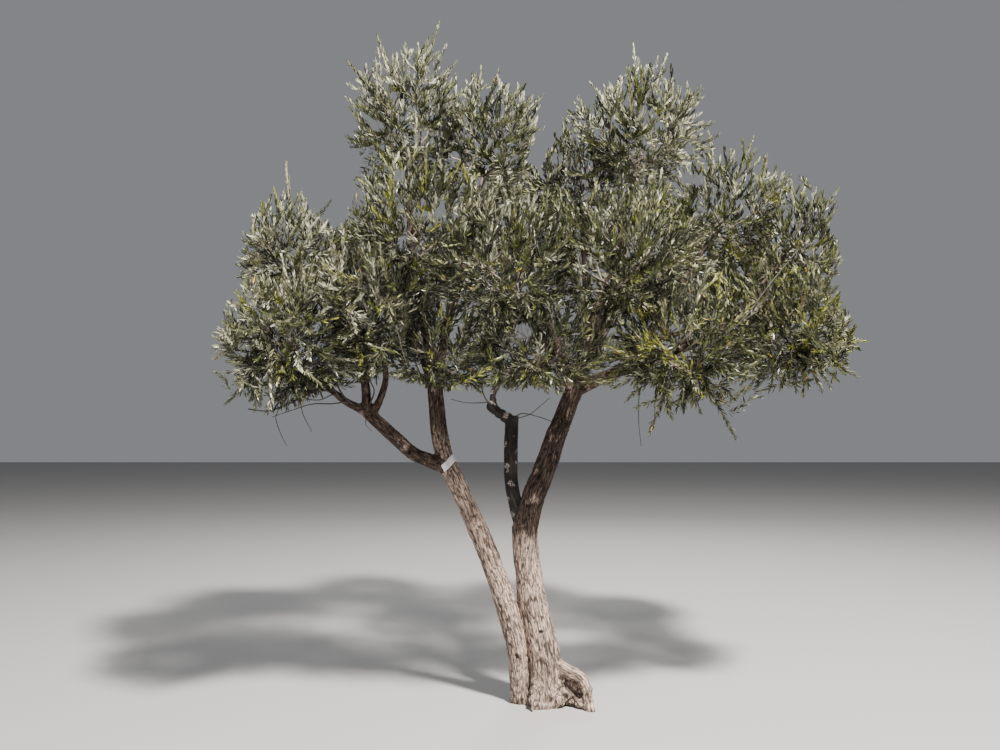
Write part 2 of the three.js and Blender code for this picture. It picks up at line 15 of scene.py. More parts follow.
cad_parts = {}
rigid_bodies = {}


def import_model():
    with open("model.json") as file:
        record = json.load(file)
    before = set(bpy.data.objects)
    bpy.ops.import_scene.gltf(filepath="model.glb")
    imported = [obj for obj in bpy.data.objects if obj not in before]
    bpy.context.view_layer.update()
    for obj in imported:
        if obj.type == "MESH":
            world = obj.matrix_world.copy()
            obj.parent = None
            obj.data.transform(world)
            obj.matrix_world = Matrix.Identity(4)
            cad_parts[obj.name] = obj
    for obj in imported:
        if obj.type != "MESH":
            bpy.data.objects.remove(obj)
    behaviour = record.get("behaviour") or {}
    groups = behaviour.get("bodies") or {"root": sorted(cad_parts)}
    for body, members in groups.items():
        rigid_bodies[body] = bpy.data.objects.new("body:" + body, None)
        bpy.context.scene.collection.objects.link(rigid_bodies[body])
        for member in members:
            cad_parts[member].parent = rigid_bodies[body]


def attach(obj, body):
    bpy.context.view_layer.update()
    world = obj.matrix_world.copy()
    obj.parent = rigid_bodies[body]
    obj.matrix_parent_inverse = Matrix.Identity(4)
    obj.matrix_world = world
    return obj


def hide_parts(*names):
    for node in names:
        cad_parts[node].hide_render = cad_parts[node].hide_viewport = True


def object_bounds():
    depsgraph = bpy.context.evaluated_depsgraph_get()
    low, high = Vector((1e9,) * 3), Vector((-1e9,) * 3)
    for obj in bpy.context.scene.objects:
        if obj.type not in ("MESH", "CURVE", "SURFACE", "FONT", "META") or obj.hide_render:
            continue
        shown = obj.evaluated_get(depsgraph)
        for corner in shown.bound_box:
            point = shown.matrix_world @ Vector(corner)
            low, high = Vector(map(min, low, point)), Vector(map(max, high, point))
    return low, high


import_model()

CAD_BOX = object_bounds()

bl_info = {
    "name": "Olive tree",
    "version": (1, 0, 0),
    "blender": (4, 5, 0),
    "location": "3D View > Sidebar > Olive",
    "description": "Bark, twigs and leaves for the frame of an olive tree",
    "category": "Add Mesh",
}

MM = 0.001
UP = np.array([0.0, 0.0, 1.0])
GOLDEN_ANGLE = math.pi * (3 - math.sqrt(5))

# The rule of the source
GAP = 0.32  # clear space between the tip of a bough and the stem of its mass
LIMB_CLEAR = 7  # least space between a twig and a limb
BEAD_STEP = 22  # how finely limbs and twigs are measured against each other
ARC_STEPS = 200  # how finely the length of a curve is measured
SPRAY_LENGTH = 420  # a leader's foot lies this far back from its tip
BLOCK = 4000  # how many points are measured against the wood at a time

# The twigs that the source grows in each mass
MAIN_TWIG = {
    "count": 9, "nearest": 0.3, "farthest": 0.62, "inside": 30, "tries": 5, "shorter": 0.8,
    "thinnest": 6.5, "shares": (0.25, 0.35, 0.45, 0.55, 0.65, 0.75, 0.85, 0.93),
    "spacing": 22, "shortest": 70, "forward": -0.35, "path_cost": 0.35, "turn_cost": 0.0,
}
STEM_SHARE = 0.3  # the stem's length as a share of the mass's least reach

# The finer twigs, and the leafy shoots that they carry, which SHOOTS counts
FINE_TWIG = dict(
    MAIN_TWIG, count=70, nearest=0.42, farthest=0.93, inside=-10, thinnest=3.0,
    shares=(0.2, 0.35, 0.5, 0.65, 0.8, 0.95), spacing=14, shortest=60, forward=-0.2, path_cost=0.25,
    turn_cost=0.4,
)
SHOOT = dict(
    MAIN_TWIG, nearest=0.5, farthest=1.36, inside=-45, thinnest=1.5,
    shares=(0.15, 0.3, 0.45, 0.6, 0.75, 0.9, 1.0), spacing=6, shortest=55, forward=-0.2,
    path_cost=0.08, turn_cost=2.0,
)
LEADER_SHARES = (0.1, 0.2, 0.3, 0.4, 0.5, 0.6, 0.7, 0.8, 0.9)
LIVELY = {"main": 0.35, "leader": 0.3, "fine": 0.6, "shoot": 0.9}  # how strongly each kind bends
MOST_TRIED = 12  # how many joints a finer twig tries

# How many shoots grow on a mass of full size, by its look
SHOOTS = {"silver": 410, "top": 330, "green": 310, "warm": 430}
FULL_SIZE = 420  # the mean reach of such a mass
ALONE = 1.12  # the farthest that a shoot reaches, as a share of its mass, where no other is near
UNEVEN = {"share": 0.2, "cell": 170, "seed": 33}  # how far that share goes up and down
BESIDE = 1.28  # another mass is near where its own reach times this takes the place in

# How strongly shoots turn upright at these heights, in millimetres
UPRIGHT_HEIGHTS = (1700, 2000, 2500, 3200)
UPRIGHT = (-0.4, 0.6, 2.2, 4.5)

# How the radii of twigs grow with what each carries, in millimetres
THINNEST = 1.35  # the foot of a twig that carries no other
# Least radius at the tip of a twig that carries others, and of one that doesn't
THIN_TIP, THIN_END = 0.8, 0.7
PIPE_POWER = 2.2
SEAT = 0.82  # the widest foot, as a share of the radius that it stands on
TAPER = 0.72

# The root collar and its buttresses
COLLAR = {
    "out": 62, "height": 150, "round": 0.35,
    "lobes": ((-8, 0.75, 30), (-128, 0.8, 26), (-70, 0.25, 24), (95, 0.6, 40), (48, 0.35, 26)),
}

# The limbs: name, the limb that each is on and its place there, radii at foot and tip, knots
LIMBS = (
    ("trunk", None, 0, 96, 79,
     ((0, 0, -60), (-22, 0, 185), (-52, 0, 365), (-100, 0, 605), (-135, 0, 845), (-142, 0, 1085))),
    ("left_stem", None, 0, 72, 50,
     ((-160, 12, -50), (-183, 4, 190), (-205, -10, 370), (-300, -20, 690),
      (-415, -20, 985), (-580, -20, 1345), (-668, -20, 1560), (-712, -20, 1955))),
    ("surface_root", None, 0, 34, 30,
     ((30, -20, 232), (112, -75, 208), (192, -118, 160), (222, -138, 60), (226, -148, -50))),
    ("right_bough", "trunk", 0.96, 74, 58,
     ((-90, 0, 1240), (-40, 0, 1355), (35, 10, 1560), (115, 20, 1765), (185, 20, 1935))),
    ("mid_bough", "trunk", 0.93, 46, 43,
     ((-200, 80, 1175), (-230, 120, 1325), (-230, 160, 1515), (-220, 200, 1735))),
    ("mid_arm", "mid_bough", 0.93, 25, 14,
     ((-300, 210, 1755), (-345, 225, 1800), (-340, 290, 1900), (-270, 420, 2000))),
    ("left_bough", "left_stem", 0.735, 46, 38,
     ((-730, -60, 1455), (-830, -100, 1500), (-925, -130, 1585), (-1120, -190, 1765))),
    ("left_low_bough", "left_bough", 0.97, 26, 17,
     ((-1215, -230, 1805), (-1290, -265, 1865), (-1390, -310, 1930))),
    ("left_rise_bough", "left_bough", 0.96, 29, 16,
     ((-1130, -165, 1960), (-1290, -90, 2250), (-1490, 0, 2520))),
    ("left_inner_bough", "left_bough", 0.9, 25, 15,
     ((-1010, -200, 1850), (-985, -212, 1970), (-1015, -235, 2140))),
    ("top_left_bough", "left_stem", 0.975, 45, 17,
     ((-755, -10, 2250), (-850, 0, 2700), (-895, 0, 3300))),
    ("top_centre_bough", "left_stem", 0.965, 38, 16,
     ((-640, 45, 2300), (-520, 105, 2750), (-430, 140, 3230))),
    ("mid_left_bough", "top_left_bough", 0.14, 24, 15, ((-745, -160, 2280), (-765, -280, 2560))),
    ("low_left_bough", "left_stem", 0.93, 22, 14, ((-700, -125, 1930), (-672, -200, 2020))),
    ("back_left_bough", "left_stem", 0.955, 32, 16, ((-830, 230, 2170), (-1060, 560, 2560))),
    ("top_right_bough", "right_bough", 0.965, 46, 17,
     ((285, 10, 2300), (450, 0, 2800), (565, 0, 3270))),
    ("notch_bough", "top_right_bough", 0.2, 27, 15, ((255, 110, 2560), (240, 180, 3110))),
    ("centre_right_bough", "top_right_bough", 0.1, 26, 15, ((285, -150, 2180), (345, -290, 2370))),
    ("centre_bough", "right_bough", 0.93, 30, 15, ((30, -140, 2100), (-170, -310, 2380))),
    ("low_centre_bough", "centre_bough", 0.42, 19, 14, ((0, -225, 2040), (-35, -300, 2055))),
    ("right_reach_bough", "right_bough", 0.955, 42, 26,
     ((450, -40, 2010), (760, -95, 2120), (1050, -140, 2245))),
    ("right_mid_bough", "right_reach_bough", 0.96, 20, 14, ((1180, -170, 2270), (1290, -190, 2265))),
    ("right_far_bough", "right_reach_bough", 0.95, 20, 12,
     ((1165, -130, 2345), (1330, -105, 2540), (1500, -70, 2745))),
    ("right_top_bough", "right_reach_bough", 0.35, 28, 14, ((700, 0, 2330), (1050, 70, 2870))),
    ("low_right_bough", "right_reach_bough", 0.25, 24, 15, ((500, -170, 2000), (620, -270, 2030))),
    ("back_centre_bough", "right_bough", 0.945, 38, 17,
     ((90, 350, 2230), (-60, 700, 2650), (-150, 890, 2920))),
    ("back_right_bough", "right_bough", 0.97, 36, 16, ((370, 320, 2240), (620, 700, 2680))),
    ("back_far_bough", "back_right_bough", 0.25, 27, 15, ((620, 330, 2200), (1250, 590, 2430))),
)

FLARE = 0.3  # how much a side limb widens where it leaves its carrier
FLARE_RUN = 1.5  # how many of its radii along it that fades
CARRIED_ON = 0.85  # a limb at least this thick beside its carrier carries it on without a step
FORKS_FROM = 0.9  # a limb that carries another beyond this share of it is forked there
ROUND_END = 34  # how far the end of a forked limb is rounded, in millimetres
ROUND_MOST = 0.96  # how much of the way to a point
FLAT_ENDS = ("mid_bough",)

# Limbs whose skin is made finely, because the crown leaves them bare
BARE_LIMBS = ("trunk", "left_stem", "surface_root", "right_bough", "left_bough")
DEAD_LIMBS = ("mid_bough", "mid_arm")

# The leaf masses: name, bough, centre, reach, look, leaders
MASSES = (
    ("left_low_mass", "left_low_bough", (-1500, -350, 2120), (480, 480, 420), "silver",
     ((-1990, -300, 2210), (-1880, -380, 1790))),
    ("left_top_mass", "left_rise_bough", (-1640, 50, 2790), (360, 420, 380), "silver",
     ((-1690, 50, 3370), (-1400, 50, 3110))),
    ("left_inner_mass", "left_inner_bough", (-1060, -290, 2370), (430, 410, 420), "silver", ()),
    ("top_left_mass", "top_left_bough", (-880, 0, 3620), (395, 450, 460), "top",
     ((-1110, 50, 4230), (-700, 0, 4300), (-1270, -140, 3960))),
    ("top_centre_mass", "top_centre_bough", (-400, 150, 3540), (420, 430, 430), "top",
     ((-310, 150, 4050), (-10, 200, 3890))),
    ("mid_left_mass", "mid_left_bough", (-770, -350, 2880), (440, 400, 440), "green", ()),
    ("centre_mass", "centre_bough", (-250, -450, 2590), (470, 400, 440), "green", ()),
    ("top_right_mass", "top_right_bough", (600, 0, 3560), (430, 440, 430), "top",
     ((560, -60, 4100), (800, 60, 4110), (1010, 0, 3830), (300, 100, 3930))),
    ("notch_mass", "notch_bough", (200, 210, 3330), (370, 400, 390), "green", ()),
    ("right_top_mass", "right_top_bough", (1160, 100, 3090), (390, 400, 390), "green",
     ((1360, 80, 3550), (1080, 120, 3600))),
    ("right_far_mass", "right_far_bough", (1600, -50, 2850), (330, 350, 350), "green",
     ((1850, -40, 3160),)),
    ("right_mid_mass", "right_mid_bough", (1420, -200, 2260), (430, 420, 400), "warm",
     ((1930, -150, 2180), (1830, -230, 1960))),
    ("centre_right_mass", "centre_right_bough", (400, -410, 2650), (480, 400, 450), "green", ()),
    ("low_centre_mass", "low_centre_bough", (-50, -430, 2110), (420, 340, 330), "green", ()),
    ("low_right_mass", "low_right_bough", (750, -360, 2130), (460, 400, 390), "warm",
     ((1080, -300, 1590), (560, -400, 1620))),
    ("low_left_mass", "low_left_bough", (-660, -370, 2090), (390, 340, 340), "green", ()),
    ("back_left_mass", "back_left_bough", (-1200, 800, 2830), (500, 480, 470), "green",
     ((-1300, 850, 3450),)),
    ("back_centre_mass", "back_centre_bough", (-220, 1030, 3170), (510, 480, 490), "green",
     ((-250, 1080, 3830),)),
    ("back_right_mass", "back_right_bough", (840, 930, 3010), (500, 480, 480), "green",
     ((900, 980, 3640),)),
    ("back_far_mass", "back_far_bough", (1480, 680, 2640), (450, 440, 440), "warm",
     ((1820, 740, 3020),)),
    ("back_low_mass", "mid_arm", (-170, 590, 2230), (450, 410, 380), "green", ()),
)
SEED_FIRST, SEED_STEP = 1000, 77  # the source's seeds for its masses
SEED_FINE, SEED_SHOOT = 9000, 17000  # what the seeds of finer twigs and of shoots add to those

# The photograph's camera, in millimetres and pixels
EYE = np.array([-300.0, -4880.0, 1560.0])
PITCH = math.radians(5)
FOCAL = 780
IMAGE = (1000, 750)

# Where the photograph shows sky through the crown: x, y and radius in its pixels
SKY_GAPS = (
    (377, 126, 5), (400, 176, 5), (420, 139, 5), (453, 158, 4), (439, 213, 4), (482, 181, 4),
    (537, 158, 7), (545, 140, 8), (553, 122, 7), (557, 159, 4), (585, 195, 4), (688, 179, 4),
    (690, 149, 4), (698, 180, 4), (523, 332, 7), (337, 214, 9),
)

OUTSIDE = 0.024  # how far leaves may stand outside the box of the solids, as a share of each side
GAP_MARGIN = 2.5  # how far the middle of a leaf keeps from the edge of a gap, in pixels

# How far the outline wanders, in pixels, and over how many millimetres
RAGGED = {"reach": 9, "cell": 75, "seed": 31}

# The crown's outline in the photograph, in its pixels, clockwise from the left
CROWN_OUTLINE = (
    (212, 345), (225, 300), (245, 230), (262, 195), (283, 168), (300, 190), (325, 222), (349, 205),
    (345, 130), (352, 60), (375, 28), (395, 42), (415, 38), (440, 24), (455, 58), (480, 65), (525, 82),
    (548, 98), (550, 122), (560, 106), (585, 86), (610, 82), (638, 48), (665, 46), (682, 72), (702, 92),
    (716, 122), (722, 142), (735, 136), (758, 150), (798, 158), (820, 178), (834, 200), (826, 226),
    (844, 258), (836, 286), (856, 314), (866, 345), (852, 372), (836, 398), (800, 404), (760, 424),
    (740, 452), (705, 408), (640, 442), (618, 392), (590, 380), (560, 394), (530, 385), (500, 394),
    (430, 386), (400, 380), (372, 382), (346, 382), (322, 394), (296, 406), (262, 416), (242, 398),
    (222, 372),
)

LEAF_KINDS = ("silver", "grey_green", "green", "dark_green", "yellow_green", "turning")

# How many of a hundred shoots have each colour but the last, by the look of the mass
KIND_SHARES = {
    "silver": (34, 34, 20, 9, 3),
    "top": (31, 36, 20, 11, 2),
    "green": (6, 26, 40, 20, 8),
    "warm": (3, 21, 41, 15, 20),
}
# How much more often a shoot has each colour where it ends within this share of its mass's reach:
# painted shade, darker kinds deep in the mass
DEEP, DEEP_SHADE_SHARES = 0.72, (0.3, 0.7, 1.3, 2.4, 0.8)
# How much more often it has each colour where it ends below this height, in millimetres: painted
# shade, fewer silver leaves low in the crown
LOW, LOW_SHADE_SHARES = 2250, (0.4, 0.85, 1.3, 1.2, 1.0)
# The share of single leaves that turn, by the look of the mass
TURNED = {"silver": 0.0015, "top": 0.0015, "green": 0.003, "warm": 0.01}

# A leaf's tone, which is 0 in the middle and below that for a dark leaf
SHOOT_TONE, LEAF_TONE = 0.35, 0.75  # how far it differs from shoot to shoot and from leaf to leaf
LOW_SHADE, LOW_SHADE_FADE = 0.5, 400  # painted shade: how much darker the lowest leaves are, and how soon below LOW
DEPTH_SHADE = 2.9  # painted shade: how much darker it gets with the depth in the crown
DEPTH_FALL, SKIN_DEPTH = 2, 0.26  # how fast that depth falls to a mass's edge, and what it is there


class Curve:
    """A smooth path through knots, read by share of its length, as the source draws it."""

    def __init__(self, knots):
        points = np.array(knots, float)
        self.points = np.vstack([2 * points[0] - points[1], points, 2 * points[-1] - points[-2]])
        self.spans = len(points) - 1
        self.times = np.linspace(0, 1, ARC_STEPS + 1)
        steps = np.linalg.norm(np.diff(self.at_time(self.times), axis=0), axis=1)
        self.lengths = np.concatenate([[0], np.cumsum(steps)])
        self.length = self.lengths[-1]

    def at_time(self, time):
        time = np.atleast_1d(time) * self.spans
        span = np.clip(time.astype(int), 0, self.spans - 1)
        part = (time - span)[:, None]
        before, start, end, after = (self.points[span + k] for k in range(4))
        leave = (end - before) / 2
        arrive = (after - start) / 2
        cubic = (2 * start - 2 * end + leave + arrive) * part**3
        return cubic + (3 * end - 3 * start - 2 * leave - arrive) * part**2 + leave * part + start

    def at(self, share):
        return self.at_time(np.interp(np.atleast_1d(share) * self.length, self.lengths, self.times))

    def heading(self, share):
        ends = self.at(np.array([max(share - 1e-3, 0), min(share + 1e-3, 1)]))
        return unit(ends[1] - ends[0])


class Limb:
    """A limb from its place on its carrier. Its seat is the radius that it spreads to there."""

    def __init__(self, name, carrier, at, foot, tip, knots, made=None):
        self.name, self.foot, self.tip, self.seat, self.forked = name, foot, tip, None, False
        start = []
        if carrier:
            below = made[carrier]
            start = [tuple(below.curve.at(at)[0])]
            under = below.foot + (below.tip - below.foot) * at
            self.seat = under if foot > CARRIED_ON * under else min(foot * (1 + FLARE), under)
            below.forked = below.forked or (at > FORKS_FROM and carrier not in FLAT_ENDS)
        self.curve = Curve(start + list(knots))


class Twig:
    """A twig from a place on the one that carries it. Its straight line decides what grows where,
    as in the source, and its bent path is what shows."""

    def __init__(self, parent, share, start, end, kind, tip=None):
        self.parent, self.share, self.kind, self.tip = parent, share, kind, tip
        self.start, self.end = start, end
        self.length = float(np.linalg.norm(end - start))
        self.way = (end - start) / self.length
        self.run = parent.run + share * parent.length if parent else 0
        self.carries = 0
        self.path = None
        self.foot = self.thin = THINNEST


def unit(vector):
    length = np.linalg.norm(vector, axis=-1, keepdims=True)
    return vector / np.maximum(length, 1e-9)


def seeded(seed):
    """Numbers from 0 to 1 that come out the same for the same seed, as in the source."""
    state = seed

    def draw():
        nonlocal state
        state = state * 16807 % 2147483647
        return state / 2147483647

    return draw


def noise(points, seed):
    """Smooth numbers from -1 to 1 over space."""
    cell = np.floor(points).astype(np.int64)
    part = points - cell
    part = part * part * (3 - 2 * part)
    total = np.zeros(len(points))
    for corner in np.ndindex(2, 2, 2):
        at = cell + np.array(corner)
        mixed = (at[:, 0] * 73856093) ^ (at[:, 1] * 19349663) ^ (at[:, 2] * 83492791) ^ (seed * 2654435)
        mixed = (mixed ^ (mixed >> 13)) * 1274126177 & 0x7FFFFFFF
        value = ((mixed ^ (mixed >> 16)) & 0xFFFF) / 32767.5 - 1
        total += value * np.prod(np.where(corner, part, 1 - part), axis=1)
    return total


def cell_noise(points, row, wide=1):
    """Noise by the size of cell and the seed that a row names."""
    return noise(points / (np.array(row["cell"]) * wide), row["seed"])


@cache
def limbs():
    made = {}
    for row in LIMBS:
        made[row[0]] = Limb(*row, made)
    return made


@cache
def wood_beads():
    """Points along every limb with the radius there, for keeping twigs clear of the wood."""
    places, radii = [], []
    for limb in limbs().values():
        count = math.ceil(limb.curve.length / BEAD_STEP)
        shares = np.linspace(0, 1, count + 1)
        places.append(limb.curve.at(shares))
        radii.append(limb.foot + (limb.tip - limb.foot) * shares)
    return np.vstack(places), np.concatenate(radii)


def clear_of_wood(start, end, radius):
    places, radii = wood_beads()
    steps = math.ceil(np.linalg.norm(end - start) / BEAD_STEP) + 1
    points = start + (end - start) * np.linspace(0, 1, steps + 1)[:, None]
    apart = np.linalg.norm(points[:, None, :] - places[None, :, :], axis=2)
    return bool(np.all(apart >= radii + radius + LIMB_CLEAR))


class Mass:
    """The space of one leaf mass, and the planes that part it from the others."""

    def __init__(self, number, name, bough, centre, reach, look, leaders):
        self.name, self.bough, self.look = name, limbs()[bough], look
        self.middle, self.reach = np.array(centre, float), np.array(reach, float)
        self.leaders = [np.array(tip, float) for tip in leaders]
        self.seed = SEED_FIRST + SEED_STEP * number

    def part_from(self, others):
        self.others = others
        ways = np.array([other.middle - self.middle for other in others])
        apart = np.linalg.norm(ways, axis=1)
        squares = np.array([self.reach.mean() ** 2 - other.reach.mean() ** 2 for other in others])
        self.normals = ways / apart[:, None]
        self.distances = (apart**2 + squares) / (2 * apart)

    def fills(self, point, share):
        """Whether a place is near enough to this mass, or in a crevice between it and another."""
        if share <= ALONE + UNEVEN["share"] * cell_noise(point[None], UNEVEN)[0]:
            return True
        return any(
            np.linalg.norm((point - other.middle) / other.reach) < BESIDE for other in self.others)

    def holds(self, point, margin):
        return bool(np.all(self.normals @ (point - self.middle) < self.distances - margin))


@cache
def masses():
    made = [Mass(number, *row) for number, row in enumerate(MASSES)]
    for mass in made:
        mass.part_from([other for other in made if other is not mass])
    return made


def even_places(mass, rule, seed, count=None):
    """Places in even directions round the middle of a mass, within its own space. A count of the
    scene's own also keeps them within the crown's outline in the photograph."""
    draw = seeded(seed)
    places = []
    own = count is not None
    count = count or rule["count"]
    for k in range(count):
        height = 1 - (2 * k + 1) / count
        round_ = math.sqrt(1 - height * height)
        turn = GOLDEN_ANGLE * k + seed
        way = np.array([math.cos(turn) * round_, math.sin(turn) * round_, height]) * mass.reach
        share = rule["nearest"] + (rule["farthest"] - rule["nearest"]) * draw()
        for _ in range(rule["tries"]):
            place = mass.middle + way * share
            if mass.holds(place, rule["inside"]) and (not own or shoot_may_reach(mass, place, share)):
                places.append(place)
                break
            share *= rule["shorter"]
    return places


def in_photo(points):
    """Where the photograph's camera sees points, in its pixels."""
    away = np.atleast_2d(points) - EYE
    depth = away[:, 1] * math.cos(PITCH) + away[:, 2] * math.sin(PITCH)
    rise = away[:, 2] * math.cos(PITCH) - away[:, 1] * math.sin(PITCH)
    x = IMAGE[0] / 2 + FOCAL * away[:, 0] / depth
    return np.stack([x, IMAGE[1] / 2 - FOCAL * rise / depth], axis=1)


def in_outline(points):
    """Whether each point lies within the crown's outline in the photograph."""
    x, y = in_photo(points).T
    x = x + RAGGED["reach"] * cell_noise(np.atleast_2d(points), RAGGED)
    inside = np.zeros(len(x), bool)
    for (x1, y1), (x2, y2) in zip(CROWN_OUTLINE, CROWN_OUTLINE[1:] + CROWN_OUTLINE[:1]):
        if y1 != y2:
            inside ^= ((y1 > y) != (y2 > y)) & (x < x1 + (x2 - x1) * (y - y1) / (y2 - y1))
    return inside


def in_sky_gap(points):
    """Whether each point would cover a place where the photograph shows sky."""
    gaps = np.array(SKY_GAPS, float)
    apart = np.linalg.norm(in_photo(points)[:, None, :] - gaps[None, :, :2], axis=2)
    return np.any(apart < gaps[:, 2] + GAP_MARGIN, axis=1)


def in_reach(points):
    """Whether each point lies within the box of the solids, or only a little outside it."""
    low, high = np.array(CAD_BOX) / MM
    room = OUTSIDE * (high - low)
    return np.all((points > low - room) & (points < high + room), axis=1)


def shoot_may_reach(mass, place, share):
    return mass.fills(place, share) and in_outline(place)[0] and in_reach(place[None])[0] \
        and not in_sky_gap(place)[0]


class Joints:
    """The places on a mass's twigs where another may leave."""

    def __init__(self):
        self.places = np.zeros((0, 3))
        self.ways = np.zeros((0, 3))
        self.runs = np.zeros(0)
        self.shares = np.zeros(0)
        self.owners = np.zeros(0, int)
        self.free = np.zeros(0, bool)
        self.twigs = []

    def add(self, twig, shares, bent):
        shares = np.array(shares)
        along = twig.path.at(shares) if bent else twig.start + (twig.end - twig.start) * shares[:, None]
        self.places = np.vstack([self.places, along])
        self.ways = np.vstack([self.ways, np.tile(twig.way, (len(shares), 1))])
        self.runs = np.concatenate([self.runs, twig.run + shares * twig.length])
        self.shares = np.concatenate([self.shares, shares])
        self.owners = np.concatenate([self.owners, np.full(len(shares), len(self.twigs))])
        self.free = np.concatenate([self.free, np.ones(len(shares), bool)])
        self.twigs.append(twig)

    def take(self, index, spacing):
        owner = self.owners[index]
        near = np.abs(self.shares - self.shares[index]) * self.twigs[owner].length <= spacing
        self.free[(self.owners == owner) & near] = False


def join(joints, target, wanted, rule, kind, tip=None):
    """A twig to the target from the joint with the least way, or None."""
    ways = target - joints.places
    lengths = np.linalg.norm(ways, axis=1)
    ways = ways / np.maximum(lengths, 1e-6)[:, None]
    fits = joints.free & (lengths >= rule["shortest"])
    fits &= np.sum(ways * joints.ways, axis=1) >= rule["forward"]
    cost = lengths + rule["path_cost"] * joints.runs
    if rule["turn_cost"]:
        cost = cost * (1 + rule["turn_cost"] * (1 - ways @ wanted))
    order = np.nonzero(fits)[0]
    order = order[np.argsort(cost[order], kind="stable")]
    for index in order[:MOST_TRIED if rule["turn_cost"] else None]:
        start = joints.places[index]
        if clear_of_wood(start, target, rule["thinnest"]):
            twig = Twig(
                joints.twigs[joints.owners[index]], joints.shares[index], start, target, kind, tip)
            joints.take(index, rule["spacing"])
            return twig
    return None


def outward(mass, place):
    """The way that a shoot points at its end: out of the mass, upright high in the crown and
    drooping at its foot."""
    out = unit((place - mass.middle) / mass.reach)
    return unit(out + np.interp(place[2], UPRIGHT_HEIGHTS, UPRIGHT) * UP)


def bend(twig, mass):
    """Gives a twig its path: it leaves along its carrier and turns outward to its end."""
    lively = LIVELY[twig.kind] if twig.parent else 0
    start = twig.parent.path.at(twig.share)[0] if twig.parent else twig.start
    way = unit(twig.end - start)
    length = np.linalg.norm(twig.end - start)
    leave = unit(way + lively * (twig.parent.way if twig.parent else way))
    arrive = unit(way + lively * outward(mass, twig.end))
    third = length / 3
    knots = [start, start + leave * third, twig.end - arrive * third, twig.end]
    shares = np.linspace(0, 1, 5)[:, None]
    rest = 1 - shares
    bezier = rest**3 * knots[0] + 3 * rest**2 * shares * knots[1]
    twig.path = Curve(bezier + 3 * rest * shares**2 * knots[2] + shares**3 * knots[3])


def grow(mass):
    """The twigs of a mass: the source's own, then finer ones, then leafy shoots."""
    bough = mass.bough
    heading = bough.curve.heading(1)
    seat = bough.curve.at(1)[0] + heading * GAP
    stem = Twig(None, 0, seat, seat + heading * STEM_SHARE * mass.reach.min(), "main")
    bend(stem, mass)
    grown, joints = [stem], Joints()
    joints.add(stem, MAIN_TWIG["shares"], False)
    targets = [(place, None) for place in even_places(mass, MAIN_TWIG, mass.seed)]
    for tip in mass.leaders:
        foot = tip - unit(tip - mass.middle) * SPRAY_LENGTH
        if mass.holds(foot, MAIN_TWIG["inside"]):
            targets.append((foot, tip))
    targets.sort(key=lambda target: np.linalg.norm(target[0] - seat))
    for place, tip in targets:
        twig = join(joints, place, None, MAIN_TWIG, "main", tip)
        if twig:
            bend(twig, mass)
            grown.append(twig)
            joints.add(twig, MAIN_TWIG["shares"], False)
    finer = Joints()
    for twig in grown:
        finer.add(twig, FINE_TWIG["shares"], True)
    for leader in [twig for twig in grown if twig.tip is not None]:
        spire = Twig(leader, 1.0, leader.end, leader.tip, "leader")
        bend(spire, mass)
        grown.append(spire)
        finer.add(spire, LEADER_SHARES, True)
    shoots = int(SHOOTS[mass.look] * (mass.reach.mean() / FULL_SIZE) ** 2)
    last = (("fine", FINE_TWIG, SEED_FINE, FINE_TWIG["count"]), ("shoot", SHOOT, SEED_SHOOT, shoots))
    for kind, rule, seed, count in last:
        places = even_places(mass, rule, mass.seed + seed, count)
        places.sort(key=lambda place: np.linalg.norm(place - seat))
        for place in places:
            twig = join(finer, place, outward(mass, place), rule, kind)
            if twig:
                bend(twig, mass)
                grown.append(twig)
                if kind == "fine":
                    finer.add(twig, SHOOT["shares"], True)
    for twig in grown:
        carrier = twig
        while carrier:
            carrier.carries += 1
            carrier = carrier.parent
    for twig in grown:
        twig.foot = min(THINNEST * twig.carries ** (1 / PIPE_POWER), bough.tip)
        if twig.parent:
            here = twig.parent.foot + (twig.parent.thin - twig.parent.foot) * twig.share
            twig.foot = min(twig.foot, SEAT * here)
        twig.thin = max(TAPER * twig.foot, THIN_TIP) if twig.carries > 1 else THIN_END
    return grown


@cache
def crown():
    """Every mass with its twigs."""
    return [(mass, grow(mass)) for mass in masses()]


# How leaves stand on their twigs, in millimetres and degrees
LEAF_SPACING = {"shoot": 11.8, "fine": 14.0, "leader": 10.0}
LEAF_BARE = {"shoot": 0.16, "fine": 0.35, "leader": 0.06}  # the share of the twig without leaves
LEAST_PAIRS = 3
LEAF_SPREAD = (42.0, 17.0)  # the angle from the twig, at its foot and at its tip
LEAF_TO_LIGHT = 0.4  # how far the upper sides turn to the light
# How far leaves stray: along the twig as a share of it, round it in radians, in their angle from it
# in degrees, and in the ways that they and their upper sides point
STRAY = {"along": 0.012, "round": 0.25, "angle": 12.0, "way": 0.1, "face": 0.28}
LEAF_SIZES = (0.78, 1.12)  # the least and the greatest, before they change along the twig
SIZE_ALONG = ((0, 0.4, 0.85, 1), (0.86, 1, 0.9, 0.62))
# How strongly leaves turn upward at these heights, in millimetres
RISE_HEIGHTS = (1700, 2200, 2800, 3400)
LEAF_RISE = (-0.15, 0.1, 0.5, 0.75)
LEAF_FROM_WOOD = 4.0  # least space between a leaf and a limb


def tangents(path, shares):
    step = 0.02
    ahead = path.at(np.minimum(shares + step, 1))
    return unit(ahead - path.at(np.maximum(shares - step, 0)))


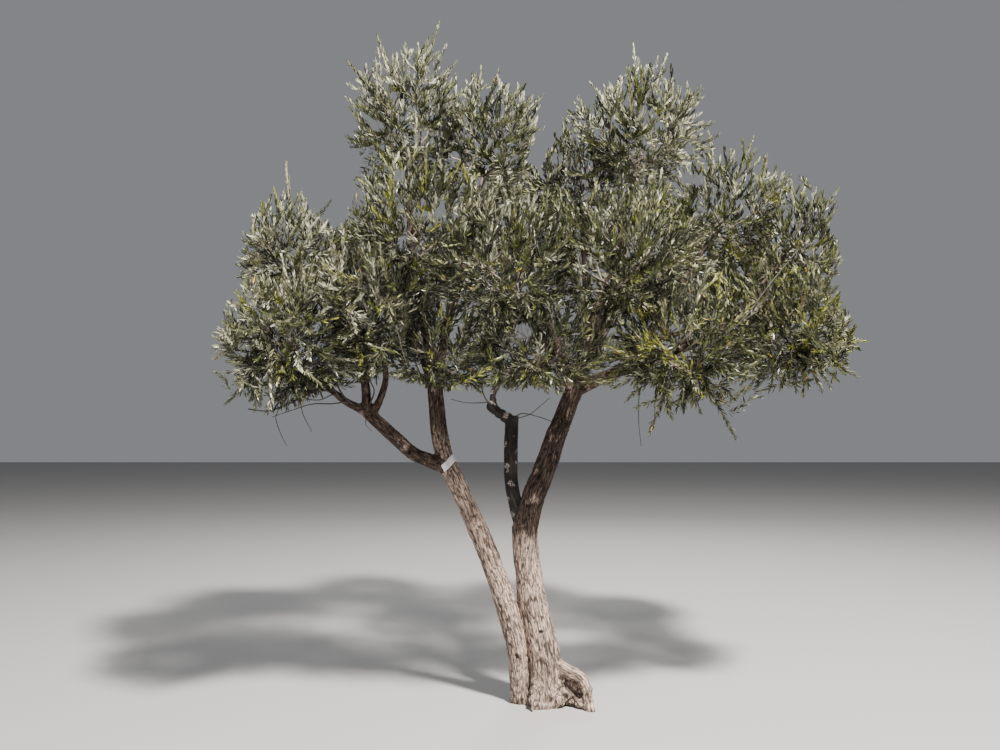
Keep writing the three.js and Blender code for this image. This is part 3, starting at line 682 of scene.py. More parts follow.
def leaves_on(twig, random):
    """Opposite pairs of leaves along the outer part of a twig, each pair crossing the last."""
    spacing, bare = LEAF_SPACING[twig.kind], LEAF_BARE[twig.kind]
    pairs = max(LEAST_PAIRS, int((1 - bare) * twig.path.length / spacing))
    shares = np.clip(np.linspace(bare, 1, pairs) + random.normal(0, STRAY["along"], pairs), 0, 1)
    middles, ways = twig.path.at(shares), tangents(twig.path, shares)
    across = unit(np.cross(ways, UP) + 1e-4)
    above = np.cross(across, ways)
    quarters = np.arange(pairs) * (math.pi / 2)
    turns = quarters + random.uniform(0, math.pi) + random.normal(0, STRAY["round"], pairs)
    spread = np.radians(np.interp(shares, (0, 1), LEAF_SPREAD))
    rise = np.interp(middles[:, 2], RISE_HEIGHTS, LEAF_RISE)[:, None]
    rows = []
    for side in (0, math.pi):
        turn = (turns + side)[:, None]
        angle = (spread + np.radians(random.normal(0, STRAY["angle"], pairs)))[:, None]
        radial = np.cos(turn) * across + np.sin(turn) * above
        way = np.cos(angle) * ways + np.sin(angle) * radial + random.normal(0, STRAY["way"], (pairs, 3))
        way = unit(way + rise * UP)
        face = unit(ways - np.sum(ways * way, axis=1)[:, None] * way)
        face = unit(face + LEAF_TO_LIGHT * UP + random.normal(0, STRAY["face"], (pairs, 3)))
        size = random.uniform(*LEAF_SIZES, pairs) * np.interp(shares, *SIZE_ALONG)
        rows.append((middles, way, face, size))
    return [np.concatenate(column) for column in zip(*rows)]


def depth_of(places):
    """How deep each place lies in the crown: low at its skin and over 0.5 inside."""
    depth = np.zeros(len(places))
    for mass in masses():
        depth += np.exp(-DEPTH_FALL * np.sum(((places - mass.middle) / mass.reach) ** 2, axis=1))
    return depth


def squares_apart(points, others):
    """The squares of the distances of each point from each of the others."""
    return np.sum(points**2, axis=1)[:, None] + np.sum(others**2, axis=1) - 2 * points @ others.T


def off_the_wood(places):
    """Whether each place keeps clear of the limbs."""
    beads, radii = wood_beads()
    keep = np.ones(len(places), bool)
    for first in range(0, len(places), BLOCK):
        some = slice(first, first + BLOCK)
        keep[some] = np.all(squares_apart(places[some], beads) > (radii + LEAF_FROM_WOOD) ** 2, axis=1)
    return keep


@cache
def foliage():
    """The leaves of each kind, as places, ways, faces, sizes and tones, the tones darkened by painted
    shade deep in the crown and low down.
    """
    kinds = {kind: [] for kind in LEAF_KINDS}
    leaf_length = bpy.context.scene.olive_leaves.length / MM
    for mass, twigs in crown():
        random = np.random.default_rng(mass.seed)
        chances = np.array(KIND_SHARES[mass.look], float)
        for twig in twigs:
            if twig.kind == "main":
                continue
            depth = np.linalg.norm((twig.end - mass.middle) / mass.reach)
            # Painted shade: darker kinds deep in the mass and low in the crown
            weights = chances * np.where(depth < DEEP, DEEP_SHADE_SHARES, 1)
            weights = weights * np.where(twig.end[2] < LOW, LOW_SHADE_SHARES, 1)
            kind = LEAF_KINDS[random.choice(len(weights), p=weights / weights.sum())]
            tone = random.normal(0, SHOOT_TONE)
            # Painted shade on the low leaves
            tone -= LOW_SHADE * np.clip((LOW - twig.end[2]) / LOW_SHADE_FADE, 0, 1)
            places, ways, faces, sizes = leaves_on(twig, random)
            tones_and_shade = tone + random.normal(0, LEAF_TONE, len(sizes))
            leaf = (places, ways, faces, sizes, tones_and_shade)
            turned = random.random(len(sizes)) < TURNED[mass.look]
            kinds["turning"].append([column[turned] for column in leaf])
            kinds[kind].append([column[~turned] for column in leaf])
    for kind, rows in kinds.items():
        places, ways, faces, sizes, tones_and_shade = (np.concatenate(column) for column in zip(*rows))
        middles = places + ways * (0.5 * leaf_length * sizes)[:, None]
        tips = places + ways * (leaf_length * sizes)[:, None]
        keep = off_the_wood(middles) & ~in_sky_gap(middles) & in_reach(tips)
        # Painted shade deep in the crown
        tones_and_shade = tones_and_shade - DEPTH_SHADE * (depth_of(middles) - SKIN_DEPTH)
        kinds[kind] = [column[keep] for column in (places, ways, faces, sizes, tones_and_shade)]
    return kinds


def point_mesh(name, places, edges, **values):
    """A mesh of bare points, or of lines through them, with named values at the points."""
    mesh = bpy.data.meshes.new(name)
    mesh.from_pydata((places * MM).tolist(), edges, [])
    for key, value in values.items():
        value = np.asarray(value, float)
        kind = "FLOAT" if value.ndim == 1 else "FLOAT_VECTOR"
        field = "value" if value.ndim == 1 else "vector"
        mesh.attributes.new(key, kind, "POINT").data.foreach_set(field, value.ravel())
    piece = bpy.data.objects.new(name, mesh)
    bpy.context.scene.collection.objects.link(piece)
    return piece


def grown_by(piece, tree, inputs):
    """The plain mesh that a tree of geometry nodes makes of a piece."""
    modifier = piece.modifiers.new(tree.name, "NODES")
    modifier.node_group = tree
    sockets = {
        item.name: item.identifier for item in tree.interface.items_tree if item.in_out == "INPUT"}
    for name, value in inputs.items():
        modifier[sockets[name]] = value
    bpy.context.view_layer.update()
    shape = bpy.data.meshes.new_from_object(piece.evaluated_get(bpy.context.evaluated_depsgraph_get()))
    piece.modifiers.clear()
    piece.data = shape
    shape.name = piece.name
    return piece


class TreeBuilder:
    """A tree of geometry nodes with named inputs."""

    def __init__(self, name, inputs):
        self.tree = bpy.data.node_groups.new(name, "GeometryNodeTree")
        self.tree.interface.new_socket("Geometry", in_out="INPUT", socket_type="NodeSocketGeometry")
        for label, kind in inputs:
            self.tree.interface.new_socket(label, in_out="INPUT", socket_type=kind)
        self.tree.interface.new_socket("Geometry", in_out="OUTPUT", socket_type="NodeSocketGeometry")
        self.inputs = self.tree.nodes.new("NodeGroupInput").outputs
        self.result = self.tree.nodes.new("NodeGroupOutput").inputs[0]

    def add(self, kind, settings=None, **links):
        node = self.tree.nodes.new(kind)
        for key, value in (settings or {}).items():
            setattr(node, key, value)
        for key, value in links.items():
            socket = node.inputs[key.replace("_", " ")]
            if isinstance(value, bpy.types.NodeSocket):
                self.tree.links.new(value, socket)
            else:
                socket.default_value = value
        return node

    def stored(self, name, kind="FLOAT"):
        node = self.add("GeometryNodeInputNamedAttribute", {"data_type": kind}, Name=name)
        return node.outputs["Attribute"]

    def finish(self, geometry):
        """Makes what the tree grew real, sets its material and gives it out."""
        real = self.add("GeometryNodeRealizeInstances", Geometry=geometry)
        dressed = self.add(
            "GeometryNodeSetMaterial", Geometry=real.outputs[0], Material=self.inputs["Material"])
        self.tree.links.new(dressed.outputs[0], self.result)
        return self.tree


def leaf_tree():
    """Sets a leaf on every point, pointing along `way` with its upper side to `face`."""
    build = TreeBuilder("leaves_on_points", (
        ("Leaf", "NodeSocketObject"), ("Leaf length", "NodeSocketFloat"),
        ("Leaf width", "NodeSocketFloat"), ("Material", "NodeSocketMaterial"),
    ))
    leaf = build.add("GeometryNodeObjectInfo", Object=build.inputs["Leaf"])
    axes = build.add("FunctionNodeAxesToRotation", {"primary_axis": "X", "secondary_axis": "Z"})
    build.tree.links.new(build.stored("way", "FLOAT_VECTOR"), axes.inputs[0])
    build.tree.links.new(build.stored("face", "FLOAT_VECTOR"), axes.inputs[1])
    sides = build.add(
        "ShaderNodeCombineXYZ", X=build.inputs["Leaf length"], Y=build.inputs["Leaf width"],
        Z=build.inputs["Leaf length"],
    )
    scale = build.add("ShaderNodeVectorMath", {"operation": "SCALE"}, Scale=build.stored("size"))
    build.tree.links.new(sides.outputs[0], scale.inputs[0])
    placed = build.add(
        "GeometryNodeInstanceOnPoints",
        Points=build.inputs["Geometry"], Instance=leaf.outputs["Geometry"],
        Rotation=axes.outputs[0], Scale=scale.outputs[0],
    )
    return build.finish(placed.outputs[0])


def tube_tree():
    """Makes a closed tube along every line, as thick as `thick` says."""
    build = TreeBuilder(
        "tubes_on_lines", (("Sides", "NodeSocketInt"), ("Material", "NodeSocketMaterial")))
    line = build.add("GeometryNodeMeshToCurve", Mesh=build.inputs["Geometry"])
    ring = build.add("GeometryNodeCurvePrimitiveCircle", Resolution=build.inputs["Sides"], Radius=1.0)
    tube = build.add(
        "GeometryNodeCurveToMesh", Curve=line.outputs[0], Scale=build.stored("thick"), Fill_Caps=True)
    build.tree.links.new(ring.outputs[0], tube.inputs["Profile Curve"])
    return build.finish(tube.outputs[0])


# A leaf of unit length and width: its outline, and how far its sides hang below the midrib
LEAF_OUTLINE = ((0, 0), (0.44, 0.5), (1, 0), (0.7, -0.42), (0.26, -0.4))
LEAF_FOLD = 0.045
LEAF_TWIST = 0.05
LEAF_UPPER = ((0, 4, 3), (0, 3, 2), (0, 2, 1))  # two slopes that meet along the midrib
LEAF_UNDER = ((0, 1, 4), (1, 3, 4), (1, 2, 3))  # flat between the sides


def leaf_form(name):
    """One leaf: an upper side folded along the midrib and an under side in the same outline."""
    rim = [(x, y, LEAF_TWIST * x * y - LEAF_FOLD * (y != 0)) for x, y in LEAF_OUTLINE]
    mesh = bpy.data.meshes.new(name)
    mesh.from_pydata(rim, [], [*LEAF_UPPER, *LEAF_UNDER])
    under = [0.0] * len(LEAF_UPPER) + [1.0] * len(LEAF_UNDER)
    mesh.attributes.new("under", "FLOAT", "FACE").data.foreach_set("value", under)
    return bpy.data.objects.new(name, mesh)


def shade_smooth(mesh, smooth=True):
    mesh.polygons.foreach_set("use_smooth", np.full(len(mesh.polygons), smooth))
    mesh.update()


def finish_piece(piece, nodes):
    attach(piece, "root")
    if nodes:
        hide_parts(*nodes)


# Materials

class Shader:
    """A material of a few named nodes."""

    def __init__(self, name):
        self.material = bpy.data.materials.new(name)
        self.material.use_nodes = True
        self.nodes = self.material.node_tree.nodes
        self.links = self.material.node_tree.links
        self.skin = self.nodes["Principled BSDF"]

    def put(self, socket, value):
        if isinstance(value, bpy.types.NodeSocket):
            self.links.new(value, socket)
        else:
            socket.default_value = value

    def stored(self, name, output="Fac"):
        node = self.nodes.new("ShaderNodeAttribute")
        node.attribute_name = name
        return node.outputs[output]

    def place(self):
        return self.nodes.new("ShaderNodeTexCoord").outputs["Object"]

    def stretched(self, place, scale):
        node = self.nodes.new("ShaderNodeMapping")
        self.links.new(place, node.inputs["Vector"])
        node.inputs["Scale"].default_value = scale
        return node.outputs[0]

    def noise(self, place, scale, detail=2.0, rough=0.5):
        node = self.nodes.new("ShaderNodeTexNoise")
        self.links.new(place, node.inputs["Vector"])
        node.inputs["Scale"].default_value = scale
        node.inputs["Detail"].default_value = detail
        node.inputs["Roughness"].default_value = rough
        return node.outputs["Fac"]

    def warped(self, place, scale, reach):
        """A place pushed about by noise, so that straight edges wander."""
        noise = self.nodes.new("ShaderNodeTexNoise")
        self.links.new(place, noise.inputs["Vector"])
        noise.inputs["Scale"].default_value = scale
        push = self.nodes.new("ShaderNodeVectorMath")
        push.operation = "MULTIPLY_ADD"
        self.links.new(noise.outputs["Color"], push.inputs[0])
        push.inputs[1].default_value = (reach, reach, reach)
        self.links.new(place, push.inputs[2])
        return push.outputs[0]

    def ranged(self, value, low, high, to_low=0.0, to_high=1.0):
        node = self.nodes.new("ShaderNodeMapRange")
        self.put(node.inputs["Value"], value)
        ends = {"From Min": low, "From Max": high, "To Min": to_low, "To Max": to_high}
        for key, number in ends.items():
            node.inputs[key].default_value = number
        return node.outputs["Result"]

    def mix(self, share, first, second, blend="MIX"):
        node = self.nodes.new("ShaderNodeMix")
        node.data_type = "RGBA"
        node.blend_type = blend
        self.put(node.inputs["Factor"], share)
        self.put(node.inputs[6], first)
        self.put(node.inputs[7], second)
        return node.outputs[2]

    def math(self, operation, first, second):
        node = self.nodes.new("ShaderNodeMath")
        node.operation = operation
        self.put(node.inputs[0], first)
        self.put(node.inputs[1], second)
        return node.outputs[0]

    def bump(self, height, strength, distance):
        node = self.nodes.new("ShaderNodeBump")
        self.links.new(height, node.inputs["Height"])
        node.inputs["Strength"].default_value = strength
        node.inputs["Distance"].default_value = distance
        self.links.new(node.outputs[0], self.skin.inputs["Normal"])

    def finish(self, base, rough, gloss=None, relief=None):
        """The whole material: its colour, roughness, gloss, and the relief with strength and depth."""
        self.put(self.skin.inputs["Base Color"], base)
        self.put(self.skin.inputs["Roughness"], rough)
        if gloss is not None:
            self.skin.inputs["Specular IOR Level"].default_value = gloss
        if relief:
            self.bump(*relief)
        return self.material


# The patterns of a material: how noise stretches along the limb, how fine and how rough it is, and
# the values between which a mark goes from one share to another
BARK = {
    "patches": (5, 3, 0.6), "patch": (0.38, 0.62),
    "streak_stretch": (1, 1, 0.16), "streak_fineness": 1.25, "streaks": (4, 0.7),
    "dark_streak": (0.37, 0.48, 0.88, 0), "pale_streak": (0.53, 0.64, 0, 0.9),
    "strip_stretch": (1, 1, 0.14), "strip_bend": (25, 0.01), "strip_fineness": 0.85, "strips": (3, 0.6),
    # Fissures between strips and deep cracks darkened towards the crack colour: painted shade
    "gap": (0.012, 0.075, 1, 0), "gap_shade": 0.78, "gap_depth": 0.8, "crack": (0.42, 1, 0, 0.8),
    # Pale patches where the crown's painted shadow is lifted: painted sun flecks
    "sun_fleck_stretch": (1, 1, 0.6), "fleck_patches": (16, 2), "sun_flecks_in_shade": (0.6, 0.68, 1, 0.35),
    "rough": (0.3, 0.7, 0.97, 0.82), "relief": 0.006,
}
DARK_STREAK, PALE_STREAK = 0.45, 1.45  # their colours, as shares of the dark and the light bark
PALEST = 0.8
YOUNG_BARK_AND_CROWN_SHADE = (0.2, 0.18, 0.175)  # what the bark keeps of its colour higher up: mostly painted shadow of the crown, a little darker young bark
DEAD_WOOD = {
    "streak_stretch": (1, 1, 0.1), "streaks": (5, 0.66), "streak": (0.38, 0.64),
    "fleck_bend": (60, 0.02), "flecks": (15, 1.5), "fleck": (0.585, 0.61),
    "worn_flecks": (120, 4, 0.6), "fleck_patches": (0.4, 0.55), "crack": (0.15, 1, 0, 0.8),
    "rough": (0.3, 0.7, 0.95, 0.8), "relief": (0.7, 0.005),
}
TWIG_BARK = {
    "patches": (34, 3), "patch": (0.36, 0.64), "rough": (0, 1, 0.6, 0.85),
    "grain": (420, 2), "relief": (0.35, 0.001),
}
OLDER_TWIG, DEAD_TWIG = 0.6, 0.5  # the colour of the patches on those, as shares of the twig's own
LEAF = {
    "tones_and_shade": (-1.2, 1.3), "mottles": (90, 2), "mottle": (0.35, 0.65, 0, 0.3), "mottle_colour": 0.75,
    "felt": (0.32, 0.72), "rough": (0, 1, 0.34, 0.62), "gloss": 0.4,
}
FILM = {
    "stains": (30, 4, 0.6), "stain": (0.5, 0.75, 0, 0.5), "rough": (0, 0.5, 0.45, 0.7),
    "creases": (70, 3), "relief": (0.3, 0.002),
}
# The darkest and the lightest of a leaf's upper side and of its felt, as shares of their colours
UPPER_TONES, FELT_TONES = (0.09, 2.2), (0.1, 1.8)
LIGHTEST = 0.9
WOOD_GLOSS = 0.25


def colour(*rgb):
    return (*rgb, 1.0)


def shade(rgb, share, most=math.inf):
    """A colour made darker or lighter, up to the most that it may hold."""
    return colour(*[min(c * share, most) for c in rgb])


def bark_material(name, light, dark, crack, fineness, relief):
    """Grey bark in narrow strips that run along the limb, with thin fissures between them that are
    dark with painted shade, and darker higher up by painted crown shadow and a little by younger bark."""
    shader = Shader(name)
    place, grain = shader.place(), shader.stored("grain", "Vector")
    patches = shader.ranged(shader.noise(place, *BARK["patches"]), *BARK["patch"])
    between = colour(*[0.5 * (a + b) for a, b in zip(light, dark)])
    base = shader.mix(patches, between, colour(*light))
    long = shader.stretched(grain, BARK["streak_stretch"])
    streaks = shader.noise(long, fineness * BARK["streak_fineness"], *BARK["streaks"])
    base = shader.mix(shader.ranged(streaks, *BARK["dark_streak"]), base, shade(dark, DARK_STREAK))
    pale = shade(light, PALE_STREAK, PALEST)
    base = shader.mix(shader.ranged(streaks, *BARK["pale_streak"]), base, pale)
    long = shader.warped(shader.stretched(grain, BARK["strip_stretch"]), *BARK["strip_bend"])
    strips = shader.noise(long, fineness * BARK["strip_fineness"], *BARK["strips"])
    apart = shader.math("ABSOLUTE", shader.math("SUBTRACT", strips, 0.5), 0)
    gaps = shader.ranged(apart, *BARK["gap"])
    # Painted shade in the fissures between strips, and in the cracks, knots, scars and hollow
    base = shader.mix(shader.math("MULTIPLY", gaps, BARK["gap_shade"]), base, colour(*crack))
    base = shader.mix(shader.ranged(shader.stored("crack"), *BARK["crack"]), base, colour(*crack))
    # Painted sun flecks: pale patches that lift the crown's painted shadow
    fleck_patches = shader.noise(shader.stretched(place, BARK["sun_fleck_stretch"]), *BARK["fleck_patches"])
    young = shader.math("MULTIPLY", shader.stored("young"), shader.ranged(fleck_patches, *BARK["sun_flecks_in_shade"]))
    # Painted shadow of the crown on the upper limbs, a little of it darker young bark
    base = shader.mix(young, base, colour(*YOUNG_BARK_AND_CROWN_SHADE), "MULTIPLY")
    height = shader.math("SUBTRACT", streaks, shader.math("MULTIPLY", gaps, BARK["gap_depth"]))
    rough = shader.ranged(streaks, *BARK["rough"])
    return shader.finish(base, rough, WOOD_GLOSS, (height, relief, BARK["relief"]))


def dead_material(name, dark, grey, fleck, fineness):
    """Dead wood, nearly black in its grain, with pale flecks where the last bark has weathered."""
    shader = Shader(name)
    place, grain = shader.place(), shader.stored("grain", "Vector")
    long = shader.stretched(grain, DEAD_WOOD["streak_stretch"])
    streaks = shader.noise(long, fineness, *DEAD_WOOD["streaks"])
    base = shader.mix(shader.ranged(streaks, *DEAD_WOOD["streak"]), colour(*dark), colour(*grey))
    flecks = shader.noise(shader.warped(place, *DEAD_WOOD["fleck_bend"]), *DEAD_WOOD["flecks"])
    fleck_patches = shader.ranged(shader.noise(grain, *DEAD_WOOD["worn_flecks"]), *DEAD_WOOD["fleck_patches"])
    where = shader.math("MULTIPLY", shader.ranged(flecks, *DEAD_WOOD["fleck"]), fleck_patches)
    base = shader.mix(where, base, colour(*fleck))
    # Painted shade in the fissures of the dead wood
    base = shader.mix(shader.ranged(shader.stored("crack"), *DEAD_WOOD["crack"]), base, colour(*dark))
    rough = shader.ranged(streaks, *DEAD_WOOD["rough"])
    return shader.finish(base, rough, WOOD_GLOSS, (streaks, *DEAD_WOOD["relief"]))


def twig_material(name, young, old):
    """Thin bark in two colours, by patches."""
    shader = Shader(name)
    patches = shader.ranged(shader.noise(shader.place(), *TWIG_BARK["patches"]), *TWIG_BARK["patch"])
    base = shader.mix(patches, colour(*young), colour(*old))
    grain = shader.noise(shader.place(), *TWIG_BARK["grain"])
    rough = shader.ranged(patches, *TWIG_BARK["rough"])
    return shader.finish(base, rough, None, (grain, *TWIG_BARK["relief"]))


def leaf_material(name, top, under):
    """Waxy above and felted silver below, each leaf a little lighter or darker than the next, and
    darker with painted shade deep and low in the crown.
    """
    shader = Shader(name)
    # The tone holds differences between leaves and the painted shade deep and low in the crown
    tone = shader.ranged(shader.stored("tone"), *LEAF["tones_and_shade"])
    darkest, lightest = UPPER_TONES
    upper = shader.mix(tone, shade(top, darkest), shade(top, lightest, LIGHTEST))
    mottled = shader.ranged(shader.noise(shader.place(), *LEAF["mottles"]), *LEAF["mottle"])
    upper = shader.mix(mottled, upper, shade(top, LEAF["mottle_colour"]))
    of_under, of_top = LEAF["felt"]
    felt = [of_under * a + of_top * b for a, b in zip(under, top)]
    darkest, lightest = FELT_TONES
    lower = shader.mix(tone, shade(felt, darkest), shade(felt, lightest, LIGHTEST))
    side = shader.stored("under")
    rough = shader.ranged(side, *LEAF["rough"])
    return shader.finish(shader.mix(side, upper, lower), rough, LEAF["gloss"])


# Wood

# Lumps that swell the collar, the surface root and the arm of the dead stub: middle and half sizes
LUMPS = (
    ((92, -72, 82), (74, 56, 78)), ((142, -92, 182), (50, 34, 30)), ((46, -100, 44), (58, 42, 52)),
    ((-26, -92, 60), (58, 34, 66)), ((214, -136, 112), (36, 32, 34)), ((150, -96, 62), (46, 36, 50)),
    ((100, -60, 190), (56, 44, 40)), ((186, -118, 30), (40, 30, 36)), ((-176, -22, 236), (34, 30, 40)),
    ((-30, 80, 60), (80, 40, 70)), ((60, 60, 50), (60, 50, 60)),
    ((132, -40, 112), (76, 44, 84)), ((176, -66, 84), (48, 36, 62)), ((196, -98, 140), (36, 30, 34)),
)
ARM_LUMPS = (
    ((-258, 202, 1728), (44, 36, 36)), ((-296, 207, 1752), (42, 34, 32)),
    ((-330, 216, 1776), (38, 32, 30)), ((-352, 226, 1800), (38, 34, 40)),
    ((-345, 236, 1838), (22, 22, 34)),
)
# Knotted relief that fades with height above ground: noise of two sizes, and how much painted shade its
# sunken parts take
BURL = {"height": 17, "size": 44, "fade": 190, "parts": ((1, 0.6, 17), (2.1, 0.4, 18))}
BURL_HOLLOW_SHADE = {"share": 0.5, "steep": 2, "from": 0.3}
# The hollow under the arch of the surface root, sunk in and darkened with painted shade
HOLLOW = {
    "knots": ((52, -114, 166), (112, -122, 132), (160, -132, 84)), "steps": 12,
    "size": 24, "depth": 34, "dark": 1.05,
}
# Mostly painted shadow of the crown, a little darker young bark: the bark turns from its old colour
# to the darker one between these heights. Limbs not named here are dark all over
CROWN_SHADE_FROM = {"trunk": (965, 1045), "left_stem": (1480, 1680), "surface_root": (900, 1000)}
CROWN_SHADE_RAGGED = {"reach": 45, "cell": (16, 16, 60), "seed": 19}  # how far that edge wanders
# The small root at the front, which goes into the ground
FRONT_ROOT = {
    "knots": ((-60, -50, 170), (-92, -104, 112), (-108, -150, 52), (-112, -196, -50)),
    "foot": 26, "tip": 14, "sides": 20, "step": 16,
}
# Knots and old pruning scars: limb, share along it, turn in degrees from +X, radius, depth. Round
# each is a raised ring, and where it is a hollow it is darkened within by painted shade
SCAR = {"ring": 0.35, "ring_height": 0.4, "dent": 0.7, "dark": 0.9, "dark_within": 0.75}
SCARS = (
    ("trunk", 0.43, -82, 17, 12), ("trunk", 0.72, -130, 20, -8), ("left_stem", 0.16, -95, 22, 10),
    ("left_stem", 0.46, -60, 20, -8), ("left_stem", 0.58, -75, 17, 8),
    ("right_bough", 0.35, -110, 20, 9), ("right_bough", 0.7, -60, 22, -9),
    ("left_bough", 0.4, -100, 16, 8), ("trunk", 0.55, 70, 24, 10),
    ("left_stem", 0.5, 100, 20, 9), ("right_bough", 0.5, 95, 22, 10),
)
# The relief of the bark, by noise of these sizes across and along the limb, in millimetres
GRAIN_BEND = {"cell": 60, "reach": (8, 8, 0), "seed": 3}
CRACKS = (
    {"cell": (17, 17, 130), "width": 0.16, "depth": 1, "seed": 11},
    {"cell": (11, 11, 75), "width": 0.18, "depth": 0.5, "seed": 12},
)
PLATES = (
    {"cell": (13, 13, 30), "share": 0.5, "seed": 13},
    {"cell": (28, 28, 70), "share": 0.5, "seed": 14},
)
PLATE_LIFT = 0.8  # how high plates stand, as a share of a fissure's depth
# The fissures are as deep and as wide as they are named on a limb of this radius. On thinner ones
# both shrink, within these shares
FULL_RADIUS = 90
FISSURE_DEPTHS, DEPTH_POWER = (0.2, 1.2), 0.8
FISSURE_WIDTHS = (0.5, 1)
# Flutes along the limb and shorter swells. How fine swells are across it is a share of the flutes'
FLUTES = {"reach": 0.06, "across": 1.5, "along": 380, "apart": 7, "seed": 15}
SWELLS = {"reach": 0.035, "across": 0.6, "along": 120, "apart": 5, "seed": 16}
# How unevenly a limb is thick, as a share of its radius
UNEVEN_LIMB = {"share": 0.06, "cell": (90, 90, 260), "seed": 5}
LIMB_STEP = 12  # how finely limbs are measured for the grain of their bark, in millimetres
GRAIN_APART = 900  # how far the grain of one limb is shifted from that of the next
MEAN_COLLAR = 0.6  # the collar's mean reach, as a share of its greatest


def collar_at(height, turn):
    """How far the root collar stands out at a height and a direction in degrees, as in the source."""
    fade = COLLAR["out"] * np.exp(-np.maximum(height, 0) / COLLAR["height"])
    lobes = COLLAR["round"]
    for middle, share, width in COLLAR["lobes"]:
        away = (turn - middle) % 360
        away = np.where(away > 180, away - 360, away)
        lobes = lobes + share * np.exp(-((away / width) ** 2))
    return fade * lobes


def tube(limb, sides, step, swell=None):
    """Points and faces of a closed tapering limb, wider where it leaves its carrier."""
    curve = limb.curve
    rings = max(4, math.ceil(curve.length / step))
    shares = np.linspace(0, 1, rings + 1)
    middles, ways = curve.at(shares), tangents(curve, shares)
    radii = limb.foot + (limb.tip - limb.foot) * shares
    run = shares * curve.length
    if limb.seat:
        radii = radii + (limb.seat - limb.foot) * np.exp(-run / (FLARE_RUN * limb.foot))
    if limb.forked:
        ending = np.clip((run - curve.length + ROUND_END) / ROUND_END, 0, ROUND_MOST)
        radii = radii * np.sqrt(1 - ending**2)
    across = unit(np.cross(ways[0], (0.0, 1.0, 0.0)))
    points = []
    turns = np.arange(sides) * (2 * math.pi / sides)
    for base, middle, way in zip(radii, middles, ways):
        across = unit(across - np.dot(across, way) * way)
        above = np.cross(way, across)
        out = np.cos(turns)[:, None] * across + np.sin(turns)[:, None] * above
        radius = np.full(sides, base)
        if swell:
            radius = radius + swell(middle, np.degrees(np.arctan2(out[:, 1], out[:, 0])))
        lumpy = cell_noise(middle + out * radius[:, None], UNEVEN_LIMB)
        radius = radius * (1 + UNEVEN_LIMB["share"] * lumpy)
        points.append(middle + out * radius[:, None])
    points = np.vstack([*points, middles[:1], middles[-1:]])
    faces = []
    for ring in range(rings):
        for i in range(sides):
            low, beside = ring * sides + i, ring * sides + (i + 1) % sides
            faces.append((low, beside, beside + sides, low + sides))
    first, last, top = len(points) - 2, len(points) - 1, rings * sides
    for i in range(sides):
        faces.append((first, (i + 1) % sides, i))
        faces.append((last, top + i, top + (i + 1) % sides))
    return points, faces


def lump(middle, half):
    shape = bmesh.new()
    bmesh.ops.create_icosphere(shape, subdivisions=3, radius=1)
    points = np.array([corner.co for corner in shape.verts]) * half + middle
    faces = [tuple(corner.index for corner in face.verts) for face in shape.faces]
    shape.free()
    return points, faces


def merged(parts):
    points, faces, count = [], [], 0
    for some, sides in parts:
        points.append(some)
        faces.extend(tuple(i + count for i in face) for face in sides)
        count += len(some)
    return np.vstack(points), faces


def one_skin(name, parts, voxel, smoothing):
    """Parts joined under one skin of small even faces."""
    points, faces = merged(parts)
    mesh = bpy.data.meshes.new(name)
    mesh.from_pydata((points * MM).tolist(), [], faces)
    piece = bpy.data.objects.new(name, mesh)
    bpy.context.scene.collection.objects.link(piece)
    remesh = piece.modifiers.new("skin", "REMESH")
    remesh.mode = "VOXEL"
    remesh.voxel_size = voxel
    smooth = piece.modifiers.new("smooth", "SMOOTH")
    smooth.iterations = smoothing
    bpy.context.view_layer.update()
    shape = bpy.data.meshes.new_from_object(piece.evaluated_get(bpy.context.evaluated_depsgraph_get()))
    piece.modifiers.clear()
    piece.data = shape
    return piece


def along_limbs(points, names):
    """For each point the limb that it lies on, how far along it, where across it and its radius."""
    rows = []
    for number, name in enumerate(names):
        limb = limbs()[name]
        shares = np.linspace(0, 1, max(8, int(limb.curve.length / LIMB_STEP)) + 1)
        middles, ways = limb.curve.at(shares), tangents(limb.curve, shares)
        radii = limb.foot + (limb.tip - limb.foot) * shares
        if name == "trunk":
            fade = np.exp(-np.maximum(middles[:, 2], 0) / COLLAR["height"])
            radii = radii + COLLAR["out"] * fade * MEAN_COLLAR
        across = unit(np.cross(ways[0], (0.0, 1.0, 0.0)))
        sides = []
        for way in ways:
            across = unit(across - np.dot(across, way) * way)
            sides.append(across)
        rows.append((
            np.full(len(shares), number), shares * limb.curve.length, middles, ways, sides, radii))
    owner, run, middles, ways, sides, radii = (np.concatenate(column) for column in zip(*rows))
    nearest = np.zeros(len(points), int)
    for first in range(0, len(points), BLOCK):
        some = slice(first, first + BLOCK)
        apart = np.sqrt(np.maximum(squares_apart(points[some], middles), 0))
        nearest[some] = np.argmin(apart - radii, axis=1)
    away, way, side = points - middles[nearest], ways[nearest], sides[nearest]
    owner, run = owner[nearest], run[nearest] + np.sum(away * way, axis=1)
    above = np.sum(away * np.cross(way, side), axis=1)
    grain = np.column_stack([np.sum(away * side, axis=1), above, run + GRAIN_APART * owner])
    return owner, run, grain, radii[nearest]


